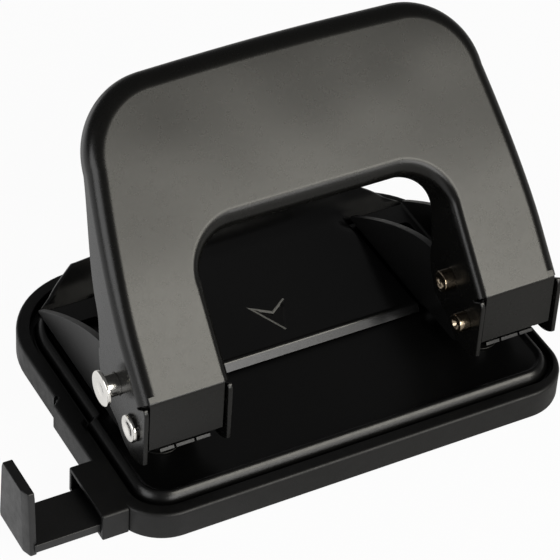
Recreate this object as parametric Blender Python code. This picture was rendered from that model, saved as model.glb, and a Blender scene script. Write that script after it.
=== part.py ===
"""Two-hole desk punch: a steel base with two punching towers, a pressed arch handle and a plastic chip tray.

Sizes below are millimetres. X runs along the width, Y towards the rear and Z up. The origin lies on the
underside of the chip tray, on the mid-plane, directly below the face that stops the paper.
"""

import math

import bmesh
import bpy
from mathutils import Matrix, Vector

MM = 0.001

# Paper and holes
HOLE_SPACING = 80.0
HOLE_SETBACK = 12.0
PUNCH_R = 3.0
SLOT_HEIGHT = 2.5

# Running and resting clearances
SEAT_GAP = 0.3
RUN_GAP = 0.12
GUIDE_GAP = 0.2

# Chip tray
TRAY_FRONT = -34.2
TRAY_REAR = 46.5
TRAY_BESIDE = 16.2
TRAY_HALF = HOLE_SPACING / 2 + TRAY_BESIDE
TRAY_HEIGHT = 7.0
TRAY_FLOOR = 1.2
TRAY_WALL = 3.2
TRAY_RIGHT_WALL = 1.2
TRAY_RIGHT_TRIM = 0.9
TRAY_FRONT_CORNER = 11.5
TRAY_REAR_CORNER = 21.0
TRAY_LEDGE_Z = 4.7
TRAY_LEDGE = 2.5
TRAY_HINGE_Z = 7.4
TRAY_HINGE_IN = 2.4
SIDE_JOG = 1.2
TRAY_JOG_Y = 8.5

# Base plate
BASE_TOP = 7.3
BASE_SHEET = 1.2
BASE_GROOVE = 0.7
BASE_RIGHT_TRIM = 0.6
BASE_RIM = 0.75
BASE_REAR_CUT = 33.9
BASE_JOG_Y = 0.5
BASE_SKIRT_Z = TRAY_LEDGE_Z + SEAT_GAP

# Bridge with the paper stop
BRIDGE_TOP = BASE_TOP + SLOT_HEIGHT
BRIDGE_SHEET = 1.0
BRIDGE_BEND = 1.4
STOP_LEAN = 1.35
BRIDGE_WING_Y = 34.2
BRIDGE_WING_RUN = 2.0
BRIDGE_WING_BESIDE = 7.2
BRIDGE_WING_HALF = HOLE_SPACING / 2 + BRIDGE_WING_BESIDE
BRIDGE_REAR = 42.7
BRIDGE_CREST = 13.8
BRIDGE_FOLD = 2.0
BRIDGE_CORNER_DROP = 0.6
ARROW_LENGTH = 9.2
ARROW_NOTCH = 3.0
ARROW_HALF = 4.2
ARROW_SETBACK = 5.4
ARROW_DEPTH = 0.45

# Punching towers
TOWER_HALF = 7.7
TOWER_SHEET = 1.5
TOWER_BEND = 2.2
TOWER_REAR = 33.9
TOWER_FOOT_Y = 0.5
TOWER_REAR_Z = 9.8
TOWER_TOP_Z = 26.9
TOWER_FRONT_REACH = 3.55
TOWER_MOUTH_Z = 17.3
TOWER_MOUTH_Y = -13.5
TOWER_WINDOW = (8.0, 27.5, 4.3)
RIVET_R = 1.5
RIVET_HEAD_R = 2.4
RIVET_HEAD = 0.9
RIVET_Y = 4.4
RIVET_X = 3.1

# Punch, die, guide and spring
DIE_WALL = 1.6
DIE_HEIGHT = 3.1
GUIDE_SHEET = 1.2
PUNCH_TIP_LIFT = 0.2
PUNCH_HEAD_R = 4.5
PUNCH_HEAD = 2.2
PUNCH_HOLLOW = 0.8
SPRING_WIRE_R = 0.42
SPRING_TURNS = 4.5

# Handle axis, drive pin and handle sheet
PIVOT_Y = -20.4
PIVOT_Z = 22.0
DRIVE_Y = -12.7
DRIVE_Z = 28.0
PIVOT_PIN_R = 2.2
DRIVE_PIN_R = 2.5
HANDLE_SHEET = 1.1
HANDLE_FOOT_Y = -25.0
HANDLE_FOOT_Z = 31.8
HANDLE_SLOPE = math.radians(48.2)
HANDLE_LENGTH = 66.8
HANDLE_CROWN = 0.5
LEG_OUTSIDE = 10.8
LEG_INSIDE = 9.8
LEG_OUTER = HOLE_SPACING / 2 + LEG_OUTSIDE
LEG_INNER = HOLE_SPACING / 2 - LEG_INSIDE
LEG_TAPER = 3.4
ARCH_TOP = 30.4
ARCH_CORNER = 10.0
SHOULDER_R = 18.0
PANEL_FRONT = -25.2
PANEL_BOTTOM = 18.7
PANEL_SLIT = 0.5
FLANGE_FOOT = 17.0
FLANGE_MIDDLE = 12.0
FLANGE_TOP = 5.6
FLANGE_ARCH = 7.0
EAR_FRONT = -26.0
EAR_R = 8.3
EAR_REAR_Y = -4.6

# Pins
PIN_HEAD = 0.8
PIVOT_HEAD_R = 3.1
DRIVE_HEAD_R = 3.4
LOCK_STICK_OUT = 3.1
LOCK_HEAD_R = 4.0
LOCK_HEAD = 0.8
PIN_END = 2.6
CLIP_R = 3.6
CLIP_SHEET = 0.6

# Paper guide
GUIDE_FRONT = -27.0
GUIDE_BACK = -15.2
GUIDE_BAR_Z = 1.5
GUIDE_BAR = 2.2
GUIDE_PLATE_X = -77.6
GUIDE_PLATE = 2.3
GUIDE_PLATE_TOP = 17.5
GUIDE_PLATE_BACK = -12.4
GUIDE_PLATE_Z = 0.5
GUIDE_BAR_END = 31.0
BOSS_REACH = 4.8
BOSS_X = -TRAY_HALF - BOSS_REACH
BOSS_FRONT = -28.3
BOSS_BACK = -11.4
BOSS_WALL = 1.0

ROUND = 24


def material(name, colour, roughness, metallic=0.0):
    made = bpy.data.materials.new(name)
    made.use_nodes = True
    shader = made.node_tree.nodes["Principled BSDF"]
    shader.inputs["Base Color"].default_value = (*colour, 1.0)
    shader.inputs["Roughness"].default_value = roughness
    shader.inputs["Metallic"].default_value = metallic
    return made


def add_object(name, mesh_data, look, origin=(0, 0, 0)):
    """Turns points and faces in millimetres into an object whose origin is the given point."""
    points, faces = mesh_data
    shift = Vector(origin)
    mesh = bpy.data.meshes.new(name)
    mesh.from_pydata([(Vector(p) - shift) * MM for p in points], [], faces)
    work = bmesh.new()
    work.from_mesh(mesh)
    bmesh.ops.recalc_face_normals(work, faces=work.faces)
    work.to_mesh(mesh)
    work.free()
    mesh.shade_smooth()
    mesh.set_sharp_from_angle(angle=math.radians(35))
    made = bpy.data.objects.new(name, mesh)
    made.location = shift * MM
    bpy.context.scene.collection.objects.link(made)
    if look:
        mesh.materials.append(look)
    return made


def helper(name, mesh_data):
    """A cutter or an added volume that only Boolean modifiers use."""
    made = add_object(name, mesh_data, None)
    made.hide_render = True
    made.display_type = "WIRE"
    return made


def boolean(target, operation, other):
    step = target.modifiers.new(f"{operation.lower()} {other.name}", "BOOLEAN")
    step.operation = operation
    step.solver = "EXACT"
    step.object = other


def rings_to_solid(rings, capped=True):
    """Joins rings of equally many points into a skin; the first and last ring are closed by a face."""
    count = len(rings[0])
    points = [point for ring in rings for point in ring]
    faces = []
    pairs = len(rings) - 1 if capped else len(rings)
    for k in range(pairs):
        low = k * count
        high = (k + 1) % len(rings) * count
        for i in range(count):
            j = (i + 1) % count
            faces.append((low + i, low + j, high + j, high + i))
    if capped:
        faces.append(tuple(range(count))[::-1])
        faces.append(tuple(range((len(rings) - 1) * count, len(rings) * count)))
    return points, faces


def prism_x(outline, low, high):
    """A prism along X over an outline of (y, z) points."""
    return rings_to_solid([[(x, y, z) for y, z in outline] for x in (low, high)])


def prism_y(outline, low, high):
    """A prism along Y over an outline of (x, z) points."""
    return rings_to_solid([[(x, y, z) for x, z in outline] for y in (low, high)])


def box(low, high):
    outline = [(low[1], low[2]), (high[1], low[2]), (high[1], high[2]), (low[1], high[2])]
    return prism_x(outline, low[0], high[0])


def arc(centre, radius, start, end, steps):
    """Points on an arc in a plane, angles in degrees."""
    found = []
    for i in range(steps + 1):
        turn = math.radians(start + (end - start) * i / steps)
        found.append((centre[0] + radius * math.cos(turn), centre[1] + radius * math.sin(turn)))
    return found


def turned(profile, axis, centre, sides=ROUND):
    """A solid of revolution. profile holds (radius, distance along the axis) from one end to the other."""
    rings = []
    for radius, along in profile:
        ring = []
        for u, v in arc((0, 0), radius, 0, 360 * (sides - 1) / sides, sides - 1):
            if axis == "X":
                ring.append((along, centre[0] + u, centre[1] + v))
            else:
                ring.append((centre[0] + u, centre[1] + v, along))
        rings.append(ring)
    return rings_to_solid(rings)


def tube(inner, outer, low, high, axis, centre, sides=ROUND):
    """A ring with a square section."""
    profile = [(inner, low), (outer, low), (outer, high), (inner, high)]
    rings = []
    for i in range(sides):
        turn = 2 * math.pi * i / sides
        ring = []
        for radius, along in profile:
            u = radius * math.cos(turn)
            v = radius * math.sin(turn)
            if axis == "X":
                ring.append((along, centre[0] + u, centre[1] + v))
            else:
                ring.append((centre[0] + u, centre[1] + v, along))
        rings.append(ring)
    return rings_to_solid(rings, capped=False)


def rounded_loop(corners, inset=0.0, steps=6):
    """Points round a polygon of (x, y, radius) corners, counter-clockwise, moved inwards by inset.

    A corner of radius 0 stays one point. A rounded corner keeps its centre, so insets run parallel.
    """
    count = len(corners)
    loop = []
    for k in range(count):
        before = Vector(corners[k - 1][:2])
        here = Vector(corners[k][:2])
        after = Vector(corners[(k + 1) % count][:2])
        radius = corners[k][2]
        into = (here - before).normalized()
        out = (after - here).normalized()
        normal_in = Vector((-into.y, into.x))
        normal_out = Vector((-out.y, out.x))
        across = normal_in + normal_out
        miter = across / (1 + normal_in.dot(normal_out))
        if radius == 0:
            loop.append(here + miter * inset)
            continue
        turn_left = into.x * out.y - into.y * out.x > 0
        side = 1 if turn_left else -1
        centre = here + miter * radius * side
        start = math.atan2(*(-normal_in * side).yx)
        sweep = into.angle_signed(out) * -1
        for i in range(steps + 1):
            turn = start + sweep * i / steps
            reach = radius - inset * side
            loop.append(centre + Vector((math.cos(turn), math.sin(turn))) * reach)
    return loop


def at_height(loop, z):
    return [(p.x, p.y, z) for p in loop]


def joined_sides(left, right):
    """One outline from its two sides, each given from front to rear with positive x."""
    return right + [(-x, y, r) for x, y, r in reversed(left)]


# ---------------------------------------------------------------- outlines shared by base and tray


def tray_corners():
    left = [
        (TRAY_HALF, TRAY_FRONT, TRAY_FRONT_CORNER),
        (TRAY_HALF, TRAY_JOG_Y - SIDE_JOG, 0),
        (TRAY_HALF - SIDE_JOG, TRAY_JOG_Y, 0),
        (TRAY_HALF - SIDE_JOG, TRAY_REAR, TRAY_REAR_CORNER),
    ]
    right_half = TRAY_HALF - TRAY_RIGHT_TRIM - TRAY_WALL + TRAY_RIGHT_WALL
    right = [(right_half, TRAY_FRONT, TRAY_FRONT_CORNER), (right_half, TRAY_REAR, TRAY_REAR_CORNER)]
    return joined_sides(left, right)


def tray_inner_corners(extra=0.0):
    """The inner outline of the tray's rim, or of its ledge with extra set to the ledge's width."""
    half = TRAY_HALF - TRAY_WALL - extra
    front = TRAY_FRONT + TRAY_WALL + extra
    rear = TRAY_REAR - TRAY_WALL - extra
    left = [
        (half, front, TRAY_FRONT_CORNER - TRAY_WALL),
        (half, BASE_JOG_Y - SIDE_JOG, 0),
        (half - SIDE_JOG, BASE_JOG_Y, 0),
        (half - SIDE_JOG, rear, TRAY_REAR_CORNER - TRAY_WALL),
    ]
    right_half = half - TRAY_RIGHT_TRIM
    right = [(right_half, front, TRAY_FRONT_CORNER - TRAY_WALL), (right_half, rear, TRAY_REAR_CORNER - TRAY_WALL)]
    return joined_sides(left, right)


def base_corners():
    inset = TRAY_WALL + BASE_GROOVE
    half = TRAY_HALF - inset
    front = TRAY_FRONT + inset
    rear = TRAY_REAR - inset
    left = [
        (half, front, TRAY_FRONT_CORNER - TRAY_WALL),
        (half, BASE_JOG_Y - SIDE_JOG, 0),
        (half - SIDE_JOG, BASE_JOG_Y, 0),
        (half - SIDE_JOG, rear, TRAY_REAR_CORNER - inset),
    ]
    right_half = half - BASE_RIGHT_TRIM
    right = [(right_half, front, TRAY_FRONT_CORNER - TRAY_WALL), (right_half, rear, TRAY_REAR_CORNER - inset)]
    return joined_sides(left, right)


def make_base_plate(look):
    corners = base_corners()
    under = BASE_TOP - BASE_SHEET
    profile = [
        (3.4, BASE_TOP),
        (2.8, BASE_TOP + 0.4 * BASE_RIM),
        (2.2, BASE_TOP + 0.9 * BASE_RIM),
        (1.7, BASE_TOP + BASE_RIM),
        (1.0, BASE_TOP + 0.7 * BASE_RIM),
        (0.4, BASE_TOP - 0.1 * BASE_RIM),
        (0.0, BASE_TOP - 1.2),
        (0.0, BASE_SKIRT_Z),
        (BASE_SHEET, BASE_SKIRT_Z),
        (BASE_SHEET, under - 0.6),
        (BASE_SHEET + 0.6, under),
    ]
    rings = [at_height(rounded_loop(corners, inset), z) for inset, z in profile]
    plate = add_object("base_plate", rings_to_solid(rings), look)
    reach = TRAY_HALF + 10
    rear = box((-reach, BASE_REAR_CUT, -5), (reach, BASE_REAR_CUT + 30, 20))
    boolean(plate, "DIFFERENCE", helper("rear_trim", rear))
    for side in (-1, 1):
        centre = (side * HOLE_SPACING / 2, -HOLE_SETBACK)
        seat_r = PUNCH_R + RUN_GAP + DIE_WALL + SEAT_GAP
        seat = turned([(seat_r, under - 3), (seat_r, BASE_TOP + 3)], "Z", centre)
        boolean(plate, "DIFFERENCE", helper(f"die_seat_{side}", seat))
        for across in (-1, 1):
            spot = (side * HOLE_SPACING / 2 + across * RIVET_X, RIVET_Y)
            bore_r = RIVET_R + RUN_GAP
            bore = turned([(bore_r, under - 3), (bore_r, BASE_TOP + 3)], "Z", spot, 12)
            boolean(plate, "DIFFERENCE", helper(f"rivet_bore_{side}_{across}", bore))
    return plate


def smooth(value, low, high):
    t = min(max((value - low) / (high - low), 0.0), 1.0)
    return t * t * (3 - 2 * t)


def bridge_width():
    """Outer half-width of the part of the bridge that lies between the towers."""
    return HOLE_SPACING / 2 - TOWER_HALF - 2 * SEAT_GAP


def bridge_height(x, y):
    """Height of the bridge's top: flat behind the stop, then a straight ramp that rises to the rear edge."""
    edge = bridge_width()
    beside = smooth(abs(x), edge - 4.0, edge + 3.0) * smooth(y, BRIDGE_WING_Y - 6.0, BRIDGE_WING_Y)
    foot = BASE_TOP + SEAT_GAP
    level = BRIDGE_TOP + (foot - BRIDGE_SHEET - BRIDGE_TOP) * beside
    up_ramp = (y - BRIDGE_WING_Y) / (BRIDGE_REAR - BRIDGE_BEND - BRIDGE_WING_Y)
    ramp = foot + (BRIDGE_CREST - foot) * up_ramp
    near = max(BRIDGE_FOLD - abs(level - ramp), 0.0)
    corner = smooth(abs(x), edge - 3.0, edge + 5.0) * smooth(up_ramp, 0.5, 1.0)
    return max(level, ramp) + near * near / (4 * BRIDGE_FOLD) - BRIDGE_CORNER_DROP * corner


def wing_edge(y):
    """Half-width of the wing, which narrows towards the rear."""
    share = (y - BRIDGE_WING_Y) / (BRIDGE_REAR - BRIDGE_WING_Y)
    return BRIDGE_WING_HALF - 12.5 * share ** 1.25


def bend_profile(turn, bottom_drop):
    """Outer and inner skin of a flange as (out, drop) pairs from the top's edge, for a bend through turn."""
    fine = BRIDGE_BEND - BRIDGE_SHEET
    skins = []
    for radius, lowered in ((BRIDGE_BEND, 0.0), (fine, BRIDGE_SHEET)):
        skin = []
        for share in (0.0, 0.5, 1.0):
            angle = turn * share
            skin.append((radius * math.sin(angle), lowered + radius * (1 - math.cos(angle))))
        out, drop = skin[-1]
        skin.append((out + (bottom_drop - drop) / math.tan(turn), bottom_drop))
        skins.append(skin)
    return skins


def ramp_profile(run, bottom_drop):
    """Outer and inner skin of a straight ramp down to the sheet's edge, as (out, drop) pairs."""
    count = 3
    skins = []
    for lowered in (0.0, BRIDGE_SHEET):
        drop = bottom_drop - lowered
        out = run * drop / bottom_drop
        skins.append([(out * n / count, lowered + drop * n / count) for n in range(count + 1)])
    return skins


def bridge_grid():
    """Points of the bridge's top inside its bends, row by row from the stop to the rear, as (x, y)."""
    edge = bridge_width() - BRIDGE_BEND
    lean = math.atan2(BRIDGE_TOP - BASE_TOP - SEAT_GAP, STOP_LEAN)
    front = STOP_LEAN + BRIDGE_BEND * math.tan(lean / 2)
    wing_front = BRIDGE_WING_Y + BRIDGE_WING_RUN
    rear = BRIDGE_REAR - BRIDGE_BEND
    rows = [front + (wing_front - front) * t for t in (0, 0.22, 0.42, 0.57, 0.7, 0.8, 0.9)]
    rows += [wing_front + (rear - wing_front) * t for t in (0, 0.25, 0.5, 0.75, 1)]
    inner = [edge * t for t in (-1, -0.93, -0.6, -0.2, 0.2, 0.6, 0.93, 1)]
    grid = []
    for y in rows:
        xs = list(inner)
        if y >= wing_front:
            reach = wing_edge(y) - 1.25 * BRIDGE_BEND
            outer = [edge + (reach - edge) * t for t in (0.15, 0.35, 0.6, 1.0)]
            xs = [-x for x in reversed(outer)] + xs + outer
        grid.append([(x, y) for x in xs])
    return grid, lean


def grid_border(grid):
    """Row and column of each point round a T-shaped grid, counter-clockwise from the front left."""
    narrow = len(grid[0])
    extra = (len(grid[-1]) - narrow) // 2
    start = next(k for k, row in enumerate(grid) if len(row) > narrow)
    last = len(grid) - 1
    wide = len(grid[-1]) - 1
    path = [(0, i) for i in range(narrow)]
    path += [(k, narrow - 1) for k in range(1, start)]
    path += [(start, i) for i in range(extra + narrow - 1, wide + 1)]
    path += [(k, wide) for k in range(start + 1, last + 1)]
    path += [(last, i) for i in range(wide - 1, -1, -1)]
    path += [(k, 0) for k in range(last - 1, start - 1, -1)]
    path += [(start, i) for i in range(1, extra + 1)]
    path += [(k, 0) for k in range(start - 1, 0, -1)]
    return path, start, extra


def outward(before, here, after):
    """Direction out of a counter-clockwise path at here, as long as an offset of one asks at the corner."""
    into = (Vector(here) - Vector(before)).normalized()
    out = (Vector(after) - Vector(here)).normalized()
    first = Vector((into.y, -into.x))
    second = Vector((out.y, -out.x))
    return (first + second) / (1 + first.dot(second))


def make_bridge(look):
    """A pressed sheet with a slanted stop at the front and flanges turned down all round."""
    grid, lean = bridge_grid()
    path, start, extra = grid_border(grid)
    points = []
    index = {}
    for lowered, skin in ((0.0, "top"), (BRIDGE_SHEET, "under")):
        for k, row in enumerate(grid):
            for i, (x, y) in enumerate(row):
                index[skin, k, i] = len(points)
                points.append((x, y, bridge_height(x, y) - lowered))
    faces = []
    for k in range(len(grid) - 1):
        shift = extra if k + 1 == start else 0
        for i in range(len(grid[k]) - 1):
            for skin in ("top", "under"):
                faces.append((index[skin, k, i], index[skin, k, i + 1], index[skin, k + 1, i + 1 + shift], index[skin, k + 1, i + shift]))
    foot_z = BASE_TOP + SEAT_GAP
    skirt_z = TRAY_LEDGE_Z + SEAT_GAP
    loops = {("top", 0): [index["top", k, i] for k, i in path], ("under", 0): [index["under", k, i] for k, i in path]}
    count = len(path)
    for j in range(count):
        k, i = path[j]
        here = grid[k][i]
        neighbours = [grid[path[n % count][0]][path[n % count][1]] for n in (j - 1, j + 1)]
        out = outward(neighbours[0], here, neighbours[1])
        top = bridge_height(*here)
        bottom = skirt_z if k > start else foot_z
        sides = bend_profile(math.pi / 2, top - bottom)
        if k == 0:
            fronts = bend_profile(lean, top - bottom)
        elif k == start:
            fronts = ramp_profile(BRIDGE_WING_RUN, top - bottom)
        else:
            fronts = sides
        for skin, side, front in zip(("top", "under"), sides, fronts):
            for step in (1, 2, 3):
                x = here[0] + out.x * side[step][0]
                y = here[1] + out.y * front[step][0]
                loops.setdefault((skin, step), []).append(len(points))
                points.append((x, y, top - front[step][1]))
    order = [("top", n) for n in range(4)] + [("under", n) for n in (3, 2, 1, 0)]
    for one, two in zip(order, order[1:]):
        for j in range(count):
            n = (j + 1) % count
            faces.append((loops[one][j], loops[one][n], loops[two][n], loops[two][j]))
    bridge = add_object("bridge", (points, faces), look)
    boolean(bridge, "DIFFERENCE", helper("arrow_cutter", arrow()))
    return bridge


def arrow():
    """The centre mark: an arrowhead that points to the front."""
    tail = ARROW_SETBACK + ARROW_LENGTH
    outline = [(0, ARROW_SETBACK), (ARROW_HALF, tail), (0, tail - ARROW_NOTCH), (-ARROW_HALF, tail)]
    low = BRIDGE_TOP - ARROW_DEPTH
    return rings_to_solid([[(x, y, z) for x, y in outline] for z in (low, BRIDGE_TOP + 2)])


def tower_profile():
    """Side view of a tower as (y, z) points: foot, rear curve, drive pin notch, pivot lobe and mouth."""
    slot_top = BASE_TOP + SLOT_HEIGHT
    foot = BASE_TOP + SEAT_GAP
    outline = [(TOWER_FOOT_Y, slot_top), (TOWER_FOOT_Y, foot), (TOWER_REAR - 0.6, foot)]
    steps = 10
    for i in range(steps):
        y = TOWER_REAR * (1 - i / steps)
        drop = (y / TOWER_REAR) ** 1.4
        outline.append((y, TOWER_TOP_Z - (TOWER_TOP_Z - TOWER_REAR_Z) * drop))
    clear = DRIVE_PIN_R + 0.5
    reach = math.hypot(DRIVE_Y - PIVOT_Y, DRIVE_Z - PIVOT_Z)
    notch_back = PIVOT_Y + reach + clear
    notch_front = DRIVE_Y - clear
    notch_bottom = BASE_TOP + SLOT_HEIGHT + 7.2
    corner = clear
    outline += [(0, TOWER_TOP_Z), (notch_back + 1.5, TOWER_TOP_Z + 1.4), (notch_back, TOWER_TOP_Z + 0.8)]
    outline += arc((notch_back - corner, notch_bottom + corner), corner, 0, -90, 5)
    outline += arc((notch_front + corner, notch_bottom + corner), corner, -90, -180, 5)
    outline += arc((PIVOT_Y, PIVOT_Z), TOWER_FRONT_REACH, 45, 180, 9)
    outline += [(PIVOT_Y - TOWER_FRONT_REACH, TOWER_MOUTH_Z), (TOWER_MOUTH_Y, slot_top)]
    return outline


def channel_section():
    """Front view of a tower's channel as (x, z) points about its own middle."""
    foot = BASE_TOP + SEAT_GAP
    top = TOWER_TOP_Z + 10
    wide = TOWER_HALF
    thin = TOWER_HALF - TOWER_SHEET
    bend = (wide - TOWER_BEND, foot + TOWER_BEND)
    outer = [(wide, top)] + arc(bend, TOWER_BEND, 0, -90, 4)
    inner = [(thin, top)] + arc(bend, TOWER_BEND - TOWER_SHEET, 0, -90, 3)
    outer += [(-x, z) for x, z in reversed(outer)]
    inner += [(-x, z) for x, z in reversed(inner)]
    return outer + inner[::-1]


def make_tower(name, side, look):
    middle = side * HOLE_SPACING / 2
    section = [(x + middle, z) for x, z in channel_section()]
    tower = add_object(name, prism_y(section, PIVOT_Y - 12, TOWER_REAR + 6), look)
    wide = TOWER_HALF + 2
    side_view = prism_x(tower_profile(), middle - wide, middle + wide)
    boolean(tower, "INTERSECT", helper(f"{name}_profile", side_view))
    foot = BASE_TOP + SEAT_GAP
    start, end, half = TOWER_WINDOW
    window = box((middle - half, start, foot - 2), (middle + half, end, foot + 4))
    boolean(tower, "DIFFERENCE", helper(f"{name}_window", window))
    bore_r = PIVOT_PIN_R + RUN_GAP
    bore = turned([(bore_r, middle - wide), (bore_r, middle + wide)], "X", (PIVOT_Y, PIVOT_Z))
    boolean(tower, "DIFFERENCE", helper(f"{name}_pivot_bore", bore))
    for across in (-1, 1):
        rivet_r = RIVET_R + RUN_GAP
        hole = turned([(rivet_r, foot - 2), (rivet_r, foot + 3)], "Z", (middle + across * RIVET_X, RIVET_Y), 12)
        boolean(tower, "DIFFERENCE", helper(f"{name}_rivet_{across}", hole))
    return tower


def make_rivet(name, x, look):
    """A rivet through a tower's foot and the base plate, with a domed head above and a flat one below."""
    above = BASE_TOP + SEAT_GAP + TOWER_SHEET + SEAT_GAP
    below = BASE_TOP - BASE_SHEET - SEAT_GAP
    profile = [
        (RIVET_HEAD_R - 0.3, below - RIVET_HEAD),
        (RIVET_HEAD_R, below - RIVET_HEAD + 0.3),
        (RIVET_HEAD_R, below),
        (RIVET_R, below),
        (RIVET_R, above),
        (RIVET_HEAD_R, above),
        (RIVET_HEAD_R - 0.2, above + 0.5 * RIVET_HEAD),
        (RIVET_HEAD_R - 1.1, above + RIVET_HEAD),
    ]
    spot = (x, RIVET_Y)
    return add_object(name, turned(profile, "Z", spot, 12), look, (x, RIVET_Y, above))


def guide_plate_outline():
    """Side view of a punch guide: a flat strip with the mouth bent up at its front."""
    low = BASE_TOP + SLOT_HEIGHT + GUIDE_GAP
    front_y = PIVOT_Y - TOWER_FRONT_REACH - 0.3
    front_z = TOWER_MOUTH_Z - 1.1
    slope = math.atan2(front_z - low, TOWER_MOUTH_Y - front_y)
    lift = GUIDE_SHEET * math.tan(slope / 2)
    up = (GUIDE_SHEET * math.sin(slope), GUIDE_SHEET * math.cos(slope))
    return [
        (-0.5, low),
        (-0.5, low + GUIDE_SHEET),
        (TOWER_MOUTH_Y + lift, low + GUIDE_SHEET),
        (front_y + up[0], front_z + up[1]),
        (front_y, front_z),
        (TOWER_MOUTH_Y, low),
    ]


def make_guide_plate(name, side, look):
    middle = side * HOLE_SPACING / 2
    half = TOWER_HALF - TOWER_SHEET - SEAT_GAP
    plate = add_object(name, prism_x(guide_plate_outline(), middle - half, middle + half), look)
    bore_r = PUNCH_R + RUN_GAP
    bore = turned([(bore_r, BASE_TOP), (bore_r, BASE_TOP + 10)], "Z", (middle, -HOLE_SETBACK))
    boolean(plate, "DIFFERENCE", helper(f"{name}_bore", bore))
    for across in (-1, 1):
        x = middle + across * 0.4 * half
        slit = box((x - 0.25, PIVOT_Y - 8, BASE_TOP + 2), (x + 0.25, PIVOT_Y - 0.5, TOWER_MOUTH_Z + 6))
        boolean(plate, "DIFFERENCE", helper(f"{name}_slit_{across}", slit))
    return plate


def make_die(name, side, look):
    top = BASE_TOP - 0.1
    inner = PUNCH_R + RUN_GAP
    centre = (side * HOLE_SPACING / 2, -HOLE_SETBACK)
    ring = tube(inner, inner + DIE_WALL, top - DIE_HEIGHT, top, "Z", centre)
    return add_object(name, ring, look, (*centre, top))


def punch_top():
    return DRIVE_Z - DRIVE_PIN_R - 0.1


def punch_tip():
    return BASE_TOP + SLOT_HEIGHT + PUNCH_TIP_LIFT


def make_punch(name, side, look):
    """A turned punch: hollow cutting end, straight shank and a head that the drive pin presses on."""
    top = punch_top()
    tip = punch_tip()
    profile = [
        (0.3, tip + PUNCH_HOLLOW),
        (PUNCH_R - 0.05, tip),
        (PUNCH_R, tip + 0.2),
        (PUNCH_R, top - PUNCH_HEAD),
        (PUNCH_HEAD_R, top - PUNCH_HEAD),
        (PUNCH_HEAD_R, top - 0.4),
        (PUNCH_HEAD_R - 0.4, top),
    ]
    centre = (side * HOLE_SPACING / 2, -HOLE_SETBACK)
    return add_object(name, turned(profile, "Z", centre), look, (*centre, tip))


def make_spring(name, side, look):
    """A compression spring round the punch, from the guide plate to the punch's head."""
    low = BASE_TOP + SLOT_HEIGHT + GUIDE_GAP + GUIDE_SHEET + SEAT_GAP + SPRING_WIRE_R
    high = punch_top() - PUNCH_HEAD - SEAT_GAP - SPRING_WIRE_R
    coil_r = PUNCH_R + SEAT_GAP + SPRING_WIRE_R
    centre = Vector((side * HOLE_SPACING / 2, -HOLE_SETBACK, 0))
    steps = int(SPRING_TURNS * 14)
    sides = 6
    rings = []
    for k in range(steps + 1):
        turn = 2 * math.pi * SPRING_TURNS * k / steps
        out = Vector((math.cos(turn), math.sin(turn), 0))
        middle = centre + out * coil_r + Vector((0, 0, low + (high - low) * k / steps))
        ring = []
        for i in range(sides):
            angle = 2 * math.pi * i / sides
            ring.append(middle + (out * math.cos(angle) + Vector((0, 0, math.sin(angle)))) * SPRING_WIRE_R)
        rings.append(ring)
    return add_object(name, rings_to_solid(rings), look, (centre.x, centre.y, low))


# ---------------------------------------------------------------- handle


def on_handle(x, s, depth):
    """A point of the handle: s runs up its sloping face, depth goes in behind the face."""
    along = Vector((0, math.cos(HANDLE_SLOPE), math.sin(HANDLE_SLOPE)))
    inward = Vector((0, math.sin(HANDLE_SLOPE), -math.cos(HANDLE_SLOPE)))
    foot = Vector((x, HANDLE_FOOT_Y, HANDLE_FOOT_Z))
    return foot + along * s + inward * depth


def leg_edge(s):
    """Half-width of the handle at s: straight near the foot, leaning in towards the shoulder."""
    top = HANDLE_LENGTH - SHOULDER_R
    share = max(s - 12.0, 0.0) / (top - 12.0)
    return LEG_OUTER - LEG_TAPER * share ** 1.6


def outer_flange(s):
    """Depth of the outer flange: deep round the pins, then shallower in two steps up to the shoulder."""
    beside_pins = FLANGE_FOOT - FLANGE_MIDDLE
    return (
        FLANGE_TOP
        + beside_pins * (1 - smooth(s, 10.0, 22.0))
        + (FLANGE_MIDDLE - FLANGE_TOP) * (1 - smooth(s, 20.0, 52.0))
    )


def inner_flange(s):
    """Depth of the flange round the opening: deep round the pins, then falling evenly to the arch."""
    return max(FLANGE_FOOT - 0.63 * max(s - 12.3, 0.0), FLANGE_ARCH)


def handle_stations():
    """Right half of the handle from foot to mid-plane, each as outer and inner edge with their normals."""
    shoulder = HANDLE_LENGTH - SHOULDER_R
    shoulder_x = leg_edge(shoulder) - SHOULDER_R
    arch = ARCH_TOP - ARCH_CORNER
    arch_x = LEG_INNER - ARCH_CORNER
    stations = []
    for s in (0.0, 6.0, 10.0, 12.3, 15.0, 18.0, arch):
        stations.append(((leg_edge(s), s), (1, 0), (LEG_INNER, s), (-1, 0), 3.5, 2.2))
    turns = 12
    rise = 0.34
    for k in range(1, turns + 1):
        t = k / turns
        turn = math.radians(90 * t)
        inner_dir = (math.cos(turn), math.sin(turn))
        inner = (arch_x + ARCH_CORNER * inner_dir[0], arch + ARCH_CORNER * inner_dir[1])
        if t <= rise:
            s = arch + (shoulder - arch) * t / rise
            outer = (leg_edge(s), s)
            outer_dir = (1.0, 0.0)
        else:
            lean = math.radians(90 * (t - rise) / (1 - rise))
            outer_dir = (math.cos(lean), math.sin(lean))
            outer = (shoulder_x + SHOULDER_R * outer_dir[0], shoulder + SHOULDER_R * outer_dir[1])
        facing = (-inner_dir[0], -inner_dir[1])
        stations.append((outer, outer_dir, inner, facing, 3.5 + 2.5 * t, 2.2 + 2.3 * t))
    for t in (0.5, 1.0):
        outer = (shoulder_x * (1 - t), HANDLE_LENGTH + HANDLE_CROWN * t)
        inner = (arch_x * (1 - t), ARCH_TOP)
        stations.append((outer, (0, 1), inner, (0, -1), 6.0, 4.5))
    return stations


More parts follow.
